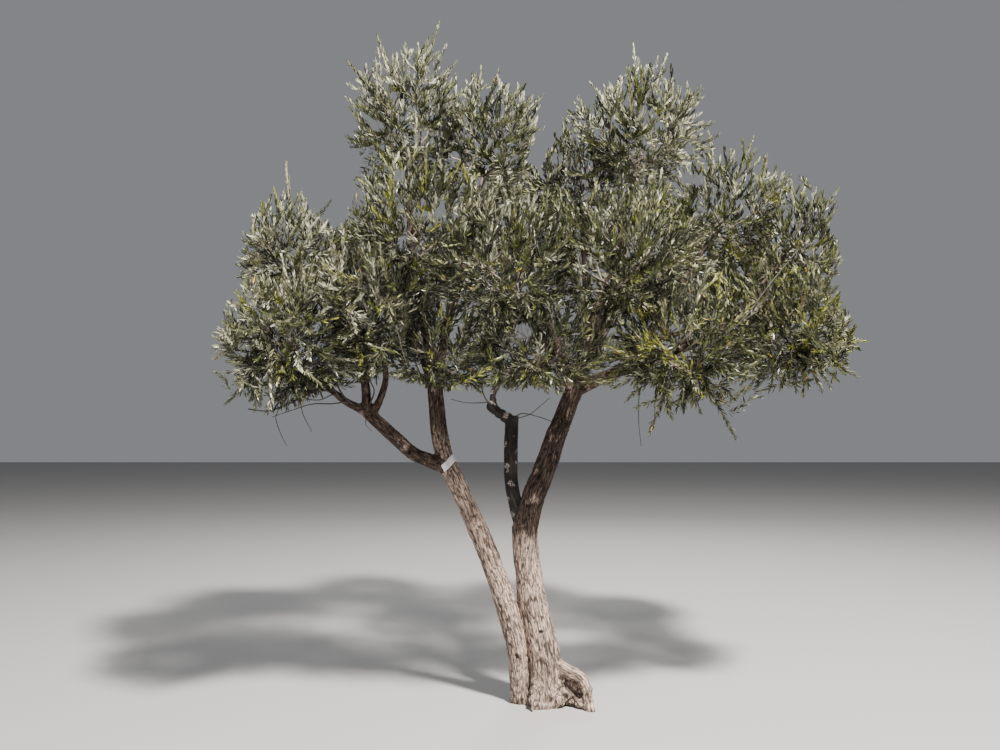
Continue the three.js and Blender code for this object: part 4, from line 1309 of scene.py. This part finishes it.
def bark_relief(points, names, fissure):
    """How far the bark stands out at each point, how deep in a crack it is with the painted shade of
    fissures, knots, scars and the hollow, how far it lies in the crown's painted shadow, and its grain.
    """
    owner, run, grain, radius = along_limbs(points, names)
    depth = fissure * np.clip(radius / FULL_RADIUS, *FISSURE_DEPTHS) ** DEPTH_POWER
    wide = np.clip(radius / FULL_RADIUS, *FISSURE_WIDTHS)[:, None]
    bent = grain + cell_noise(grain, GRAIN_BEND)[:, None] * GRAIN_BEND["reach"]
    crack = sum(
        row["depth"] * np.exp(-((cell_noise(bent, row, wide) / row["width"]) ** 2)) for row in CRACKS)
    plates = sum(row["share"] * cell_noise(bent, row) for row in PLATES)
    lift = depth * (PLATE_LIFT * plates - crack)
    round_, waves = grain[:, :2] / radius[:, None], 0
    for row in (FLUTES, SWELLS):
        round_ = round_ * row["across"]
        along = run / row["along"] + owner * row["apart"]
        waves = waves + row["reach"] * noise(np.column_stack([round_, along]), row["seed"])
    lift = lift + radius * waves
    low = np.exp(-((np.maximum(points[:, 2], 0) / BURL["fade"]) ** 2))
    burl = sum(
        share * noise(points / BURL["size"] * finer, seed) for finer, share, seed in BURL["parts"])
    lift = lift + BURL["height"] * low * burl
    # Painted shade in the sunken parts of the knots near the ground
    dark = np.clip(-burl * BURL_HOLLOW_SHADE["steep"] - BURL_HOLLOW_SHADE["from"], 0, 1)
    crack = crack + BURL_HOLLOW_SHADE["share"] * low * dark
    for name, share, turn, size, dent in SCARS:
        if name not in names:
            continue
        limb = limbs()[name]
        out = np.array([math.cos(math.radians(turn)), math.sin(math.radians(turn)), 0])
        centre = limb.curve.at(share)[0] + out * (limb.foot + (limb.tip - limb.foot) * share)
        apart = np.linalg.norm(points - centre, axis=1) / size
        ring = np.exp(-(((apart - 1) / SCAR["ring"]) ** 2))
        sunk = np.exp(-((apart / SCAR["dent"]) ** 4))
        lift = lift + SCAR["ring_height"] * abs(dent) * ring - dent * sunk
        # Painted shade within a sunken scar
        crack = crack + (dent > 0) * SCAR["dark"] * np.exp(-((apart / SCAR["dark_within"]) ** 4))
    if "surface_root" in names:
        course = Curve(HOLLOW["knots"]).at(np.linspace(0, 1, HOLLOW["steps"]))
        apart = np.linalg.norm(points[:, None, :] - course[None, :, :], axis=2).min(axis=1)
        apart = apart / HOLLOW["size"]
        lift = lift - HOLLOW["depth"] * np.exp(-(apart**4))
        # Painted shade in the hollow under the root's arch
        crack = crack + np.exp(-((apart / HOLLOW["dark"]) ** 4))
    # Painted shadow of the crown, a little of it darker young bark: 0 low on the trunk, left stem and
    # root, 1 above their heights and on every other limb
    young = np.ones(len(points))
    height = points[:, 2] + CROWN_SHADE_RAGGED["reach"] * cell_noise(bent, CROWN_SHADE_RAGGED)
    for name, (low, high) in CROWN_SHADE_FROM.items():
        if name in names:
            here = owner == names.index(name)
            young[here] = np.clip((height[here] - low) / (high - low), 0, 1)
    return lift, np.clip(crack, 0, 1), young, grain


def carve(piece, names, fissure):
    """Presses the bark's relief into a skin, and keeps its cracks and grain for the material, with
    the painted shade of fissures and hollows and the crown's painted shadow.
    """
    mesh = piece.data
    count = len(mesh.vertices)
    points, normals = np.zeros(count * 3), np.zeros(count * 3)
    mesh.vertices.foreach_get("co", points)
    mesh.vertices.foreach_get("normal", normals)
    points, normals = points.reshape(-1, 3) / MM, normals.reshape(-1, 3)
    lift, crack, young, grain = bark_relief(points, names, fissure)
    mesh.vertices.foreach_set("co", ((points + normals * lift[:, None]) * MM).ravel())
    for key, values in (("crack", crack), ("young", young)):
        mesh.attributes.new(key, "FLOAT", "POINT").data.foreach_set("value", values)
    attribute = mesh.attributes.new("grain", "FLOAT_VECTOR", "POINT")
    attribute.data.foreach_set("vector", (grain * MM).ravel())
    mesh.update()


def cut_at_ground(piece):
    """Cuts a piece off flat at ground level."""
    shape = bmesh.new()
    shape.from_mesh(piece.data)
    every = shape.verts[:] + shape.edges[:] + shape.faces[:]
    bmesh.ops.bisect_plane(shape, geom=every, plane_co=(0, 0, 0), plane_no=(0, 0, 1), clear_inner=True)
    rim = [edge for edge in shape.edges if edge.is_boundary]
    bmesh.ops.holes_fill(shape, edges=rim, sides=0)
    bmesh.ops.triangulate(shape, faces=[face for face in shape.faces if len(face.verts) > 4])
    shape.to_mesh(piece.data)
    shape.free()


def wood_piece(name, names, material, voxel, fissure, smoothing, sides, step, extra=()):
    """Limbs under one skin, with the relief of bark, in place of their nodes."""
    parts = []
    for key in names:
        swell = (lambda middle, turn: collar_at(middle[2], turn)) if key == "trunk" else None
        parts.append(tube(limbs()[key], sides, step, swell))
    piece = one_skin(name, [*parts, *extra], voxel, smoothing)
    carve(piece, names, fissure)
    if "trunk" in names:
        cut_at_ground(piece)
    shade_smooth(piece.data)
    piece.data.materials.clear()
    piece.data.materials.append(material)
    finish_piece(piece, names)


class OliveWoodSettings(bpy.types.PropertyGroup):
    """Sizes and colours of the bark."""

    voxel: FloatProperty(
        name="Bark fineness", description="Size of the faces on the bare wood", default=5.4 * MM,
        min=3 * MM, unit="LENGTH")
    crown_voxel: FloatProperty(
        name="Bough fineness", description="Size of the faces on the boughs in the crown",
        default=8 * MM, min=4 * MM, unit="LENGTH")
    fissure: FloatProperty(
        name="Fissure depth", description="Depth of the fissures at the foot of the trunk",
        default=4.2 * MM, min=0, unit="LENGTH")
    light_bark: FloatVectorProperty(
        name="Light bark", description="Colour of weathered bark",
        default=(0.525, 0.39, 0.315), subtype="COLOR")
    dark_bark: FloatVectorProperty(
        name="Dark bark", description="Colour of younger bark",
        default=(0.16, 0.122, 0.101), subtype="COLOR")
    # Painted shade: the colour that fissures, knots, scars and the hollow are darkened to
    crack: FloatVectorProperty(
        name="Crack", description="Colour deep in the fissures",
        default=(0.026, 0.019, 0.016), subtype="COLOR")
    dead: FloatVectorProperty(
        name="Dead wood", description="Colour in the grain of the dead stub",
        default=(0.013, 0.011, 0.011), subtype="COLOR")
    dead_grey: FloatVectorProperty(
        name="Dead wood, worn", description="Colour where the dead stub is worn",
        default=(0.060, 0.051, 0.046), subtype="COLOR")
    fleck: FloatVectorProperty(
        name="Fleck", description="Colour of the pale flecks on the dead stub",
        default=(0.42, 0.36, 0.32), subtype="COLOR")
    band: FloatVectorProperty(
        name="Band", description="Colour of the band on the left stem",
        default=(0.86, 0.86, 0.87), subtype="COLOR")
    stain: FloatVectorProperty(
        name="Stain", description="Colour where the band is stained",
        default=(0.62, 0.6, 0.58), subtype="COLOR")


class OliveTwigSettings(bpy.types.PropertyGroup):
    """Sizes and colours of the twigs."""

    main_sides: IntProperty(
        name="Sides of main twigs", description="Faces round a main twig", default=7, min=3)
    shoot_sides: IntProperty(
        name="Sides of shoots", description="Faces round a shoot", default=3, min=3)
    main_bark: FloatVectorProperty(
        name="Twig bark", description="Colour of older twigs",
        default=(0.16, 0.13, 0.10), subtype="COLOR")
    bare_bark: FloatVectorProperty(
        name="Bare twig bark", description="Colour of dead twigs",
        default=(0.055, 0.045, 0.037), subtype="COLOR")
    young_bark: FloatVectorProperty(
        name="Shoot bark", description="Colour of young shoots",
        default=(0.26, 0.26, 0.17), subtype="COLOR")


class OliveLeafSettings(bpy.types.PropertyGroup):
    """Sizes and colours of the leaves."""

    length: FloatProperty(
        name="Leaf length", description="Length of a full leaf",
        default=49 * MM, min=10 * MM, unit="LENGTH")
    width: FloatProperty(
        name="Leaf width", description="Width of a full leaf",
        default=11.6 * MM, min=3 * MM, unit="LENGTH")
    silver: FloatVectorProperty(
        name="Silver", description="Sunlit outer leaves",
        default=(0.262, 0.264, 0.190), subtype="COLOR")
    grey_green: FloatVectorProperty(
        name="Grey green", description="Leaves of the upper crown",
        default=(0.112, 0.117, 0.060), subtype="COLOR")
    green: FloatVectorProperty(
        name="Green", description="Leaves of the inner crown",
        default=(0.056, 0.066, 0.016), subtype="COLOR")
    dark_green: FloatVectorProperty(
        name="Dark green", description="Shaded leaves",
        default=(0.018, 0.023, 0.007), subtype="COLOR")
    yellow_green: FloatVectorProperty(
        name="Yellow green", description="Young leaves",
        default=(0.130, 0.138, 0.022), subtype="COLOR")
    turning: FloatVectorProperty(
        name="Turning", description="Old leaves before they fall",
        default=(0.42, 0.25, 0.035), subtype="COLOR")
    under: FloatVectorProperty(
        name="Under side", description="The felt below every leaf",
        default=(0.31, 0.305, 0.218), subtype="COLOR")


class OliveStageSettings(bpy.types.PropertyGroup):
    """The floor, the light and the camera."""

    floor: FloatVectorProperty(
        name="Floor", description="Colour of the floor",
        default=(0.36, 0.355, 0.35), subtype="COLOR")
    key: FloatProperty(
        name="Key light", description="Power of the large light", default=7200, unit="POWER")
    fill: FloatProperty(
        name="Fill light", description="Power of the light opposite", default=160, unit="POWER")


class OLIVE_OT_wood(bpy.types.Operator):
    """Make the bare trunk, stems and lower boughs under one skin of bark"""

    bl_idname = "olive.wood"
    bl_label = "Trunk and stems"

    def execute(self, context):
        look = context.scene.olive_wood
        bark = bark_material(
            "bark", look.light_bark, look.dark_bark, look.crack, fineness=95, relief=0.6)
        root = Limb("front_root", None, 0, FRONT_ROOT["foot"], FRONT_ROOT["tip"], FRONT_ROOT["knots"])
        extra = [*(lump(*row) for row in LUMPS), tube(root, FRONT_ROOT["sides"], FRONT_ROOT["step"])]
        wood_piece(
            "trunk_and_stems", BARE_LIMBS, bark, look.voxel, look.fissure / MM,
            smoothing=4, sides=40, step=18, extra=extra)
        dead = dead_material("dead_wood", look.dead, look.dead_grey, look.fleck, fineness=95)
        wood_piece(
            "dead_stub", DEAD_LIMBS, dead, look.voxel, look.fissure / MM,
            smoothing=2, sides=28, step=18, extra=[lump(*row) for row in ARM_LUMPS])
        return {"FINISHED"}


# The plain white band on the left stem: place along the stem, width, the part of a turn that it
# covers in degrees, how much higher its right end stands, thickness, columns and rows of corners
TAG = {
    "share": 0.745, "width": 46, "turn": (-117, -8), "rise": 44, "thick": 1.4, "columns": 28, "rows": 7,
}
TAG_START = 120  # how far out the measuring of the bark below the band starts
TAG_CLEAR = 0.6  # how far the band clears the highest bark below it
TAUT, EVEN = 3, 5  # over how many columns to each side it is pulled taut, and over how many evened


def band_on(limb, skin):
    """A bare band round a limb, laid on its bark, as rows of outer and inner corners."""
    across, middle = np.array([1.0, 0, 0]), limb.curve.at(TAG["share"])[0]
    way = limb.curve.heading(TAG["share"])
    across = unit(across - np.dot(across, way) * way)
    front = np.cross(way, across)
    turns = np.radians(np.linspace(*TAG["turn"], TAG["columns"]))
    heights = (np.linspace(-0.5, 0.5, TAG["rows"])) * TAG["width"]
    outs = np.cos(turns)[:, None] * across + np.sin(turns)[:, None] * front
    bases = [
        [middle + way * (height + TAG["rise"] * 0.5 * math.cos(turn)) for height in heights]
        for turn in turns]
    reach = np.zeros((len(turns), len(heights)))
    for i, out in enumerate(outs):
        for j, base in enumerate(bases[i]):
            hit = skin.ray_cast(Vector((base + out * TAG_START) * MM), Vector(-out))[0]
            reach[i, j] = np.linalg.norm(np.array(hit) / MM - base)
    taut = np.array([reach[max(i - TAUT, 0):i + TAUT + 1].max() for i in range(len(turns))])
    taut = np.convolve(np.pad(taut, EVEN // 2, "edge"), np.full(EVEN, 1 / EVEN), "valid") + TAG_CLEAR
    rows = []
    for extra in (TAG["thick"], 0):
        for out, column, far in zip(outs, bases, taut):
            rows.extend(base + out * (far + extra) for base in column)
    return np.array(rows)


def tag_faces(columns, rows):
    """The outer and inner sides of a band and the rim between them."""
    back = columns * rows
    faces = []
    for i in range(columns - 1):
        for j in range(rows - 1):
            a, b, c, d = i * rows + j, (i + 1) * rows + j, (i + 1) * rows + j + 1, i * rows + j + 1
            faces += [(a, b, c, d), (back + d, back + c, back + b, back + a)]
    rim = [i * rows for i in range(columns)] + [(columns - 1) * rows + j for j in range(1, rows)]
    rim += [i * rows + rows - 1 for i in range(columns - 2, -1, -1)] + list(range(rows - 2, 0, -1))
    for a, b in zip(rim, rim[1:] + rim[:1]):
        faces.append((b, a, back + a, back + b))
    return faces


def tag_material(name, white, stain):
    """Matt white plastic film, a little stained."""
    shader = Shader(name)
    place = shader.place()
    stains = shader.ranged(shader.noise(place, *FILM["stains"]), *FILM["stain"])
    base = shader.mix(stains, colour(*white), colour(*stain))
    creases = shader.noise(place, *FILM["creases"])
    return shader.finish(base, shader.ranged(stains, *FILM["rough"]), None, (creases, *FILM["relief"]))


class OLIVE_OT_tag(bpy.types.Operator):
    """Wrap the plain white band round the left stem"""

    bl_idname = "olive.tag"
    bl_label = "White band"

    def execute(self, context):
        look = context.scene.olive_wood
        stems = bpy.data.objects["trunk_and_stems"]
        skin = BVHTree.FromObject(stems, context.evaluated_depsgraph_get())
        corners = band_on(limbs()["left_stem"], skin)
        mesh = bpy.data.meshes.new("white_band")
        mesh.from_pydata((corners * MM).tolist(), [], tag_faces(TAG["columns"], TAG["rows"]))
        band = bpy.data.objects.new("white_band", mesh)
        context.scene.collection.objects.link(band)
        mesh.materials.append(tag_material("white_film", look.band, look.stain))
        shade_smooth(mesh)
        finish_piece(band, ())
        return {"FINISHED"}


class OLIVE_OT_boughs(bpy.types.Operator):
    """Make the boughs inside the crown"""

    bl_idname = "olive.boughs"
    bl_label = "Crown boughs"

    def execute(self, context):
        look = context.scene.olive_wood
        bark = bark_material(
            "bough_bark", look.light_bark, look.dark_bark, look.crack, fineness=120, relief=0.5)
        names = tuple(row[0] for row in LIMBS if row[0] not in BARE_LIMBS + DEAD_LIMBS)
        wood_piece(
            "crown_boughs", names, bark, look.crown_voxel, look.fissure / MM,
            smoothing=2, sides=18, step=24)
        return {"FINISHED"}


SHORT_TWIG = 115  # a twig shorter than this, in millimetres, is drawn with two straight lengths
FOOT_BACK = 8  # how far the stem of a mass is set back into the tip of its bough
BARE_SIDES = 6  # faces round a bare twig


def twig_lines(name, twigs, most, foot_back):
    """The paths of twigs as one mesh of lines, with their thickness."""
    points, edges, thick, count = [], [], [], 0
    for twig in twigs:
        segments = most if twig.path.length > SHORT_TWIG else min(most, 2)
        shares = np.linspace(0, 1, segments + 1)
        line = twig.path.at(shares)
        if not twig.parent:
            line[0] -= twig.way * foot_back
        points.append(line)
        thick.append(twig.foot + (twig.thin - twig.foot) * shares)
        edges.extend((count + i, count + i + 1) for i in range(segments))
        count += segments + 1
    return point_mesh(name, np.vstack(points), edges, thick=np.concatenate(thick) * MM)


# Bare twigs: the limb that each leaves and its place there, radii at foot and tip, knots after that
BARE_TWIGS = (
    ("mid_bough", 0.97, 4.5, 2.5,
     ((-160, 170, 1752), (-60, 140, 1732), (30, 105, 1698))),
    ("mid_bough", 0.97, 3.5, 1.8,
     ((-110, 150, 1745), (-40, 130, 1800), (20, 120, 1850))),
    ("mid_arm", 0.45, 4, 2,
     ((-430, 190, 1822), (-520, 130, 1820), (-610, 60, 1838))),
    ("mid_arm", 0.3, 6, 3,
     ((-400, 200, 1860), (-420, 160, 1960), (-400, 120, 2040))),
    ("low_right_bough", 0.9, 3.5, 1.6,
     ((560, -285, 1950), (520, -300, 1850), (512, -305, 1690), (524, -310, 1545))),
    ("low_right_bough", 1.0, 3, 1.5,
     ((630, -300, 1960), (612, -310, 1850), (604, -312, 1700))),
    ("low_right_bough", 0.8, 3.5, 1.8,
     ((700, -250, 1930), (705, -270, 1850), (740, -290, 1780))),
    ("left_bough", 0.97, 6, 3,
     ((-1051, -230, 1864), (-1070, -260, 1934), (-1040, -290, 2010))),
    ("left_bough", 0.9, 3.5, 1.6,
     ((-1090, -225, 1720), (-1097, -240, 1674), (-1060, -250, 1632))),
    ("left_low_bough", 0.2, 5, 1.8,
     ((-1194, -265, 1803), (-1299, -300, 1790), (-1397, -330, 1788), (-1521, -345, 1747),
      (-1623, -350, 1712))),
    ("left_low_bough", 0.5, 9, 4,
     ((-1348, -300, 1878), (-1439, -330, 1835), (-1532, -350, 1787), (-1638, -380, 1745),
      (-1741, -420, 1755))),
    ("left_low_bough", 0.6, 4.5, 1.8,
     ((-1364, -330, 1893), (-1450, -345, 1850), (-1450, -350, 1746), (-1389, -350, 1625))),
    ("left_low_bough", 0.8, 4.5, 1.6,
     ((-1450, -350, 1850), (-1590, -370, 1740), (-1569, -370, 1625), (-1528, -365, 1544))),
    ("left_low_bough", 0.3, 6, 2.5,
     ((-1257, -280, 1844), (-1325, -330, 1952), (-1417, -360, 1973), (-1515, -380, 1901))),
    ("left_low_bough", 0.35, 6, 2.5,
     ((-1303, -290, 1873), (-1373, -340, 1858), (-1460, -370, 1896), (-1540, -400, 1952))),
    ("left_low_bough", 0.1, 7, 3,
     ((-1217, -270, 1827), (-1266, -300, 1931), (-1238, -330, 2011), (-1165, -350, 2068))),
    ("left_low_bough", 0.4, 5, 2,
     ((-1273, -290, 1849), (-1351, -330, 1812), (-1434, -350, 1822), (-1503, -380, 1878))),
    ("low_right_bough", 0.9, 5, 2,
     ((760, -400, 2050), (830, -500, 2074), (1041, -590, 2235), (1195, -560, 2425),
      (1415, -480, 2672))),
)


def bare_twigs():
    """Thin dead twigs that hang or reach out under the crown."""
    made = []
    for name, share, foot, tip, knots in BARE_TWIGS:
        limb = limbs()[name]
        start = limb.curve.at(share)[0]
        twig = Twig(None, 0, start, np.array(knots[-1], float), "bare")
        twig.path = Curve([tuple(start), *knots])
        twig.foot, twig.thin = foot, tip
        made.append(twig)
    return made


class OLIVE_OT_twigs(bpy.types.Operator):
    """Make the twigs and shoots of every mass"""

    bl_idname = "olive.twigs"
    bl_label = "Twigs and shoots"

    def execute(self, context):
        look = context.scene.olive_twigs
        tree = tube_tree()
        older = twig_material("twig_bark", look.main_bark, [c * OLDER_TWIG for c in look.main_bark])
        young = twig_material("shoot_bark", look.young_bark, look.main_bark)
        dead = twig_material("bare_twig_bark", look.bare_bark, [c * DEAD_TWIG for c in look.bare_bark])
        by_kind = {kind: [] for kind in ("main", "fine", "shoot")}
        for _, twigs in crown():
            for twig in twigs:
                by_kind["main" if twig.kind == "leader" else twig.kind].append(twig)
        few = look.shoot_sides
        stood_for = [row[0] for row in MASSES]
        # Name, slot, twigs, lengths in each, sides, bark, how far back stems start, masses replaced
        groups = (
            ("bare_twigs", "dead_wood", bare_twigs(), 12, BARE_SIDES, dead, 0, ()),
            ("main_twigs", "bark", by_kind["main"], 7, look.main_sides, older, FOOT_BACK, stood_for),
            ("fine_twigs", "leaves", by_kind["fine"], 4, few, young, FOOT_BACK, stood_for),
            ("leafy_shoots", "leaves", by_kind["shoot"], 3, few, young, FOOT_BACK, stood_for),
        )
        for name, slot, twigs, segments, sides, material, foot_back, nodes in groups:
            piece = twig_lines(name, twigs, segments, foot_back)
            grown_by(piece, tree, {"Sides": sides, "Material": material})
            shade_smooth(piece.data)
            finish_piece(piece, nodes)
        return {"FINISHED"}


LEAVES_A_PIECE = 32000  # with six faces each, a piece stays under 200,000 triangles


class OLIVE_OT_leaves(bpy.types.Operator):
    """Set the leaves of each colour on the shoots"""

    bl_idname = "olive.leaves"
    bl_label = "Leaves"

    def execute(self, context):
        look = context.scene.olive_leaves
        tree = leaf_tree()
        leaf = leaf_form("leaf")
        bpy.context.scene.collection.objects.link(leaf)
        for kind, (places, ways, faces, sizes, tones_and_shade) in foliage().items():
            material = leaf_material(kind, getattr(look, kind), look.under)
            parts = max(1, math.ceil(len(places) / LEAVES_A_PIECE))
            for part in range(parts):
                some = slice(part, None, parts)
                name = f"{kind}_leaves" if parts == 1 else f"{kind}_leaves_{part + 1}"
                piece = point_mesh(
                    name, places[some], [], way=ways[some], face=faces[some], size=sizes[some],
                    tone=tones_and_shade[some])
                grown_by(piece, tree, {
                    "Leaf": leaf, "Leaf length": look.length, "Leaf width": look.width,
                    "Material": material})
                shade_smooth(piece.data, False)
                finish_piece(piece, [row[0] for row in MASSES])
        bpy.data.objects.remove(leaf)
        return {"FINISHED"}


# The lights: where each stands, where it points, its size in metres and its tint
LIGHTS = {
    "key": ((3.6, -6, 11.5), (0, 0, 2.2), 1.3, (1, 0.95, 0.88)),
    "fill": ((-7, -5, 4.5), (0, 0, 2.2), 5, (0.92, 0.96, 1)),
    "rim": ((1, 8, 7.5), (0, 0, 2.6), 4, (1, 1, 1)),
}
RIM_SHARE = 3  # the power of the light behind, against that of the fill light
STUDIO = {"colour": (0.93, 0.95, 1.0), "strength": 0.25}
FLOOR = {"half": 60, "level": -0.002, "roughness": 0.9}
SENSOR, FARTHEST = 36, 200  # the camera's width in millimetres, and how far it sees in metres


def area_light(name, power):
    """A round light that stands and points as LIGHTS says."""
    place, aim, size, tint = LIGHTS[name]
    light = bpy.data.lights.new(name, "AREA")
    light.shape = "DISK"
    light.size = size
    light.energy = power
    light.color = tint
    lamp = bpy.data.objects.new(name, light)
    lamp.location = place
    away = np.array(place) - np.array(aim)
    flat = math.hypot(away[0], away[1])
    lamp.rotation_euler = (math.atan2(flat, away[2]), 0, math.atan2(away[0], -away[1]))
    bpy.context.scene.collection.objects.link(lamp)


class OLIVE_OT_stage(bpy.types.Operator):
    """Set up the floor, the studio light and the camera"""

    bl_idname = "olive.stage"
    bl_label = "Floor, light and camera"

    def execute(self, context):
        look = context.scene.olive_stage
        mesh = bpy.data.meshes.new("floor")
        half = FLOOR["half"]
        signs = ((-1, -1), (1, -1), (1, 1), (-1, 1))
        corners = [(x * half, y * half, FLOOR["level"]) for x, y in signs]
        mesh.from_pydata(corners, [], [(0, 1, 2, 3)])
        floor = bpy.data.objects.new("floor", mesh)
        mesh.materials.append(Shader("floor").finish(colour(*look.floor), FLOOR["roughness"]))
        context.scene.collection.objects.link(floor)
        area_light("key", look.key)
        area_light("fill", look.fill)
        area_light("rim", RIM_SHARE * look.fill)
        world = bpy.data.worlds.new("studio")
        world.use_nodes = True
        back = world.node_tree.nodes["Background"]
        back.inputs["Color"].default_value = colour(*STUDIO["colour"])
        back.inputs["Strength"].default_value = STUDIO["strength"]
        context.scene.world = world
        camera = bpy.data.objects.new("camera", bpy.data.cameras.new("camera"))
        camera.data.sensor_width = SENSOR
        camera.data.lens = FOCAL / IMAGE[0] * camera.data.sensor_width
        camera.data.clip_end = FARTHEST
        camera.location = EYE * MM
        camera.rotation_euler = (math.pi / 2 + PITCH, 0, 0)
        context.scene.collection.objects.link(camera)
        context.scene.camera = camera
        return {"FINISHED"}


OPERATORS = (
    OLIVE_OT_wood, OLIVE_OT_tag, OLIVE_OT_boughs, OLIVE_OT_twigs, OLIVE_OT_leaves, OLIVE_OT_stage)


class OLIVE_PT_sidebar(bpy.types.Panel):
    """The parts of the tree, in the order in which they are made"""

    bl_idname = "OLIVE_PT_sidebar"
    bl_label = "Olive tree"
    bl_space_type = "VIEW_3D"
    bl_region_type = "UI"
    bl_category = "Olive"

    def draw(self, context):
        for operator in OPERATORS:
            self.layout.operator(operator.bl_idname, text=operator.bl_label)


SETTINGS = {
    "olive_wood": OliveWoodSettings, "olive_twigs": OliveTwigSettings,
    "olive_leaves": OliveLeafSettings, "olive_stage": OliveStageSettings,
}


def register():
    for kind in (*SETTINGS.values(), *OPERATORS, OLIVE_PT_sidebar):
        bpy.utils.register_class(kind)
    for name, kind in SETTINGS.items():
        setattr(bpy.types.Scene, name, PointerProperty(type=kind))


def unregister():
    for name in SETTINGS:
        delattr(bpy.types.Scene, name)
    for kind in reversed((*SETTINGS.values(), *OPERATORS, OLIVE_PT_sidebar)):
        bpy.utils.unregister_class(kind)


def main():
    register()
    bpy.ops.olive.wood()
    bpy.ops.olive.tag()
    bpy.ops.olive.boughs()
    bpy.ops.olive.twigs()
    bpy.ops.olive.leaves()
    bpy.ops.olive.stage()


if __name__ == "__main__":
    main()
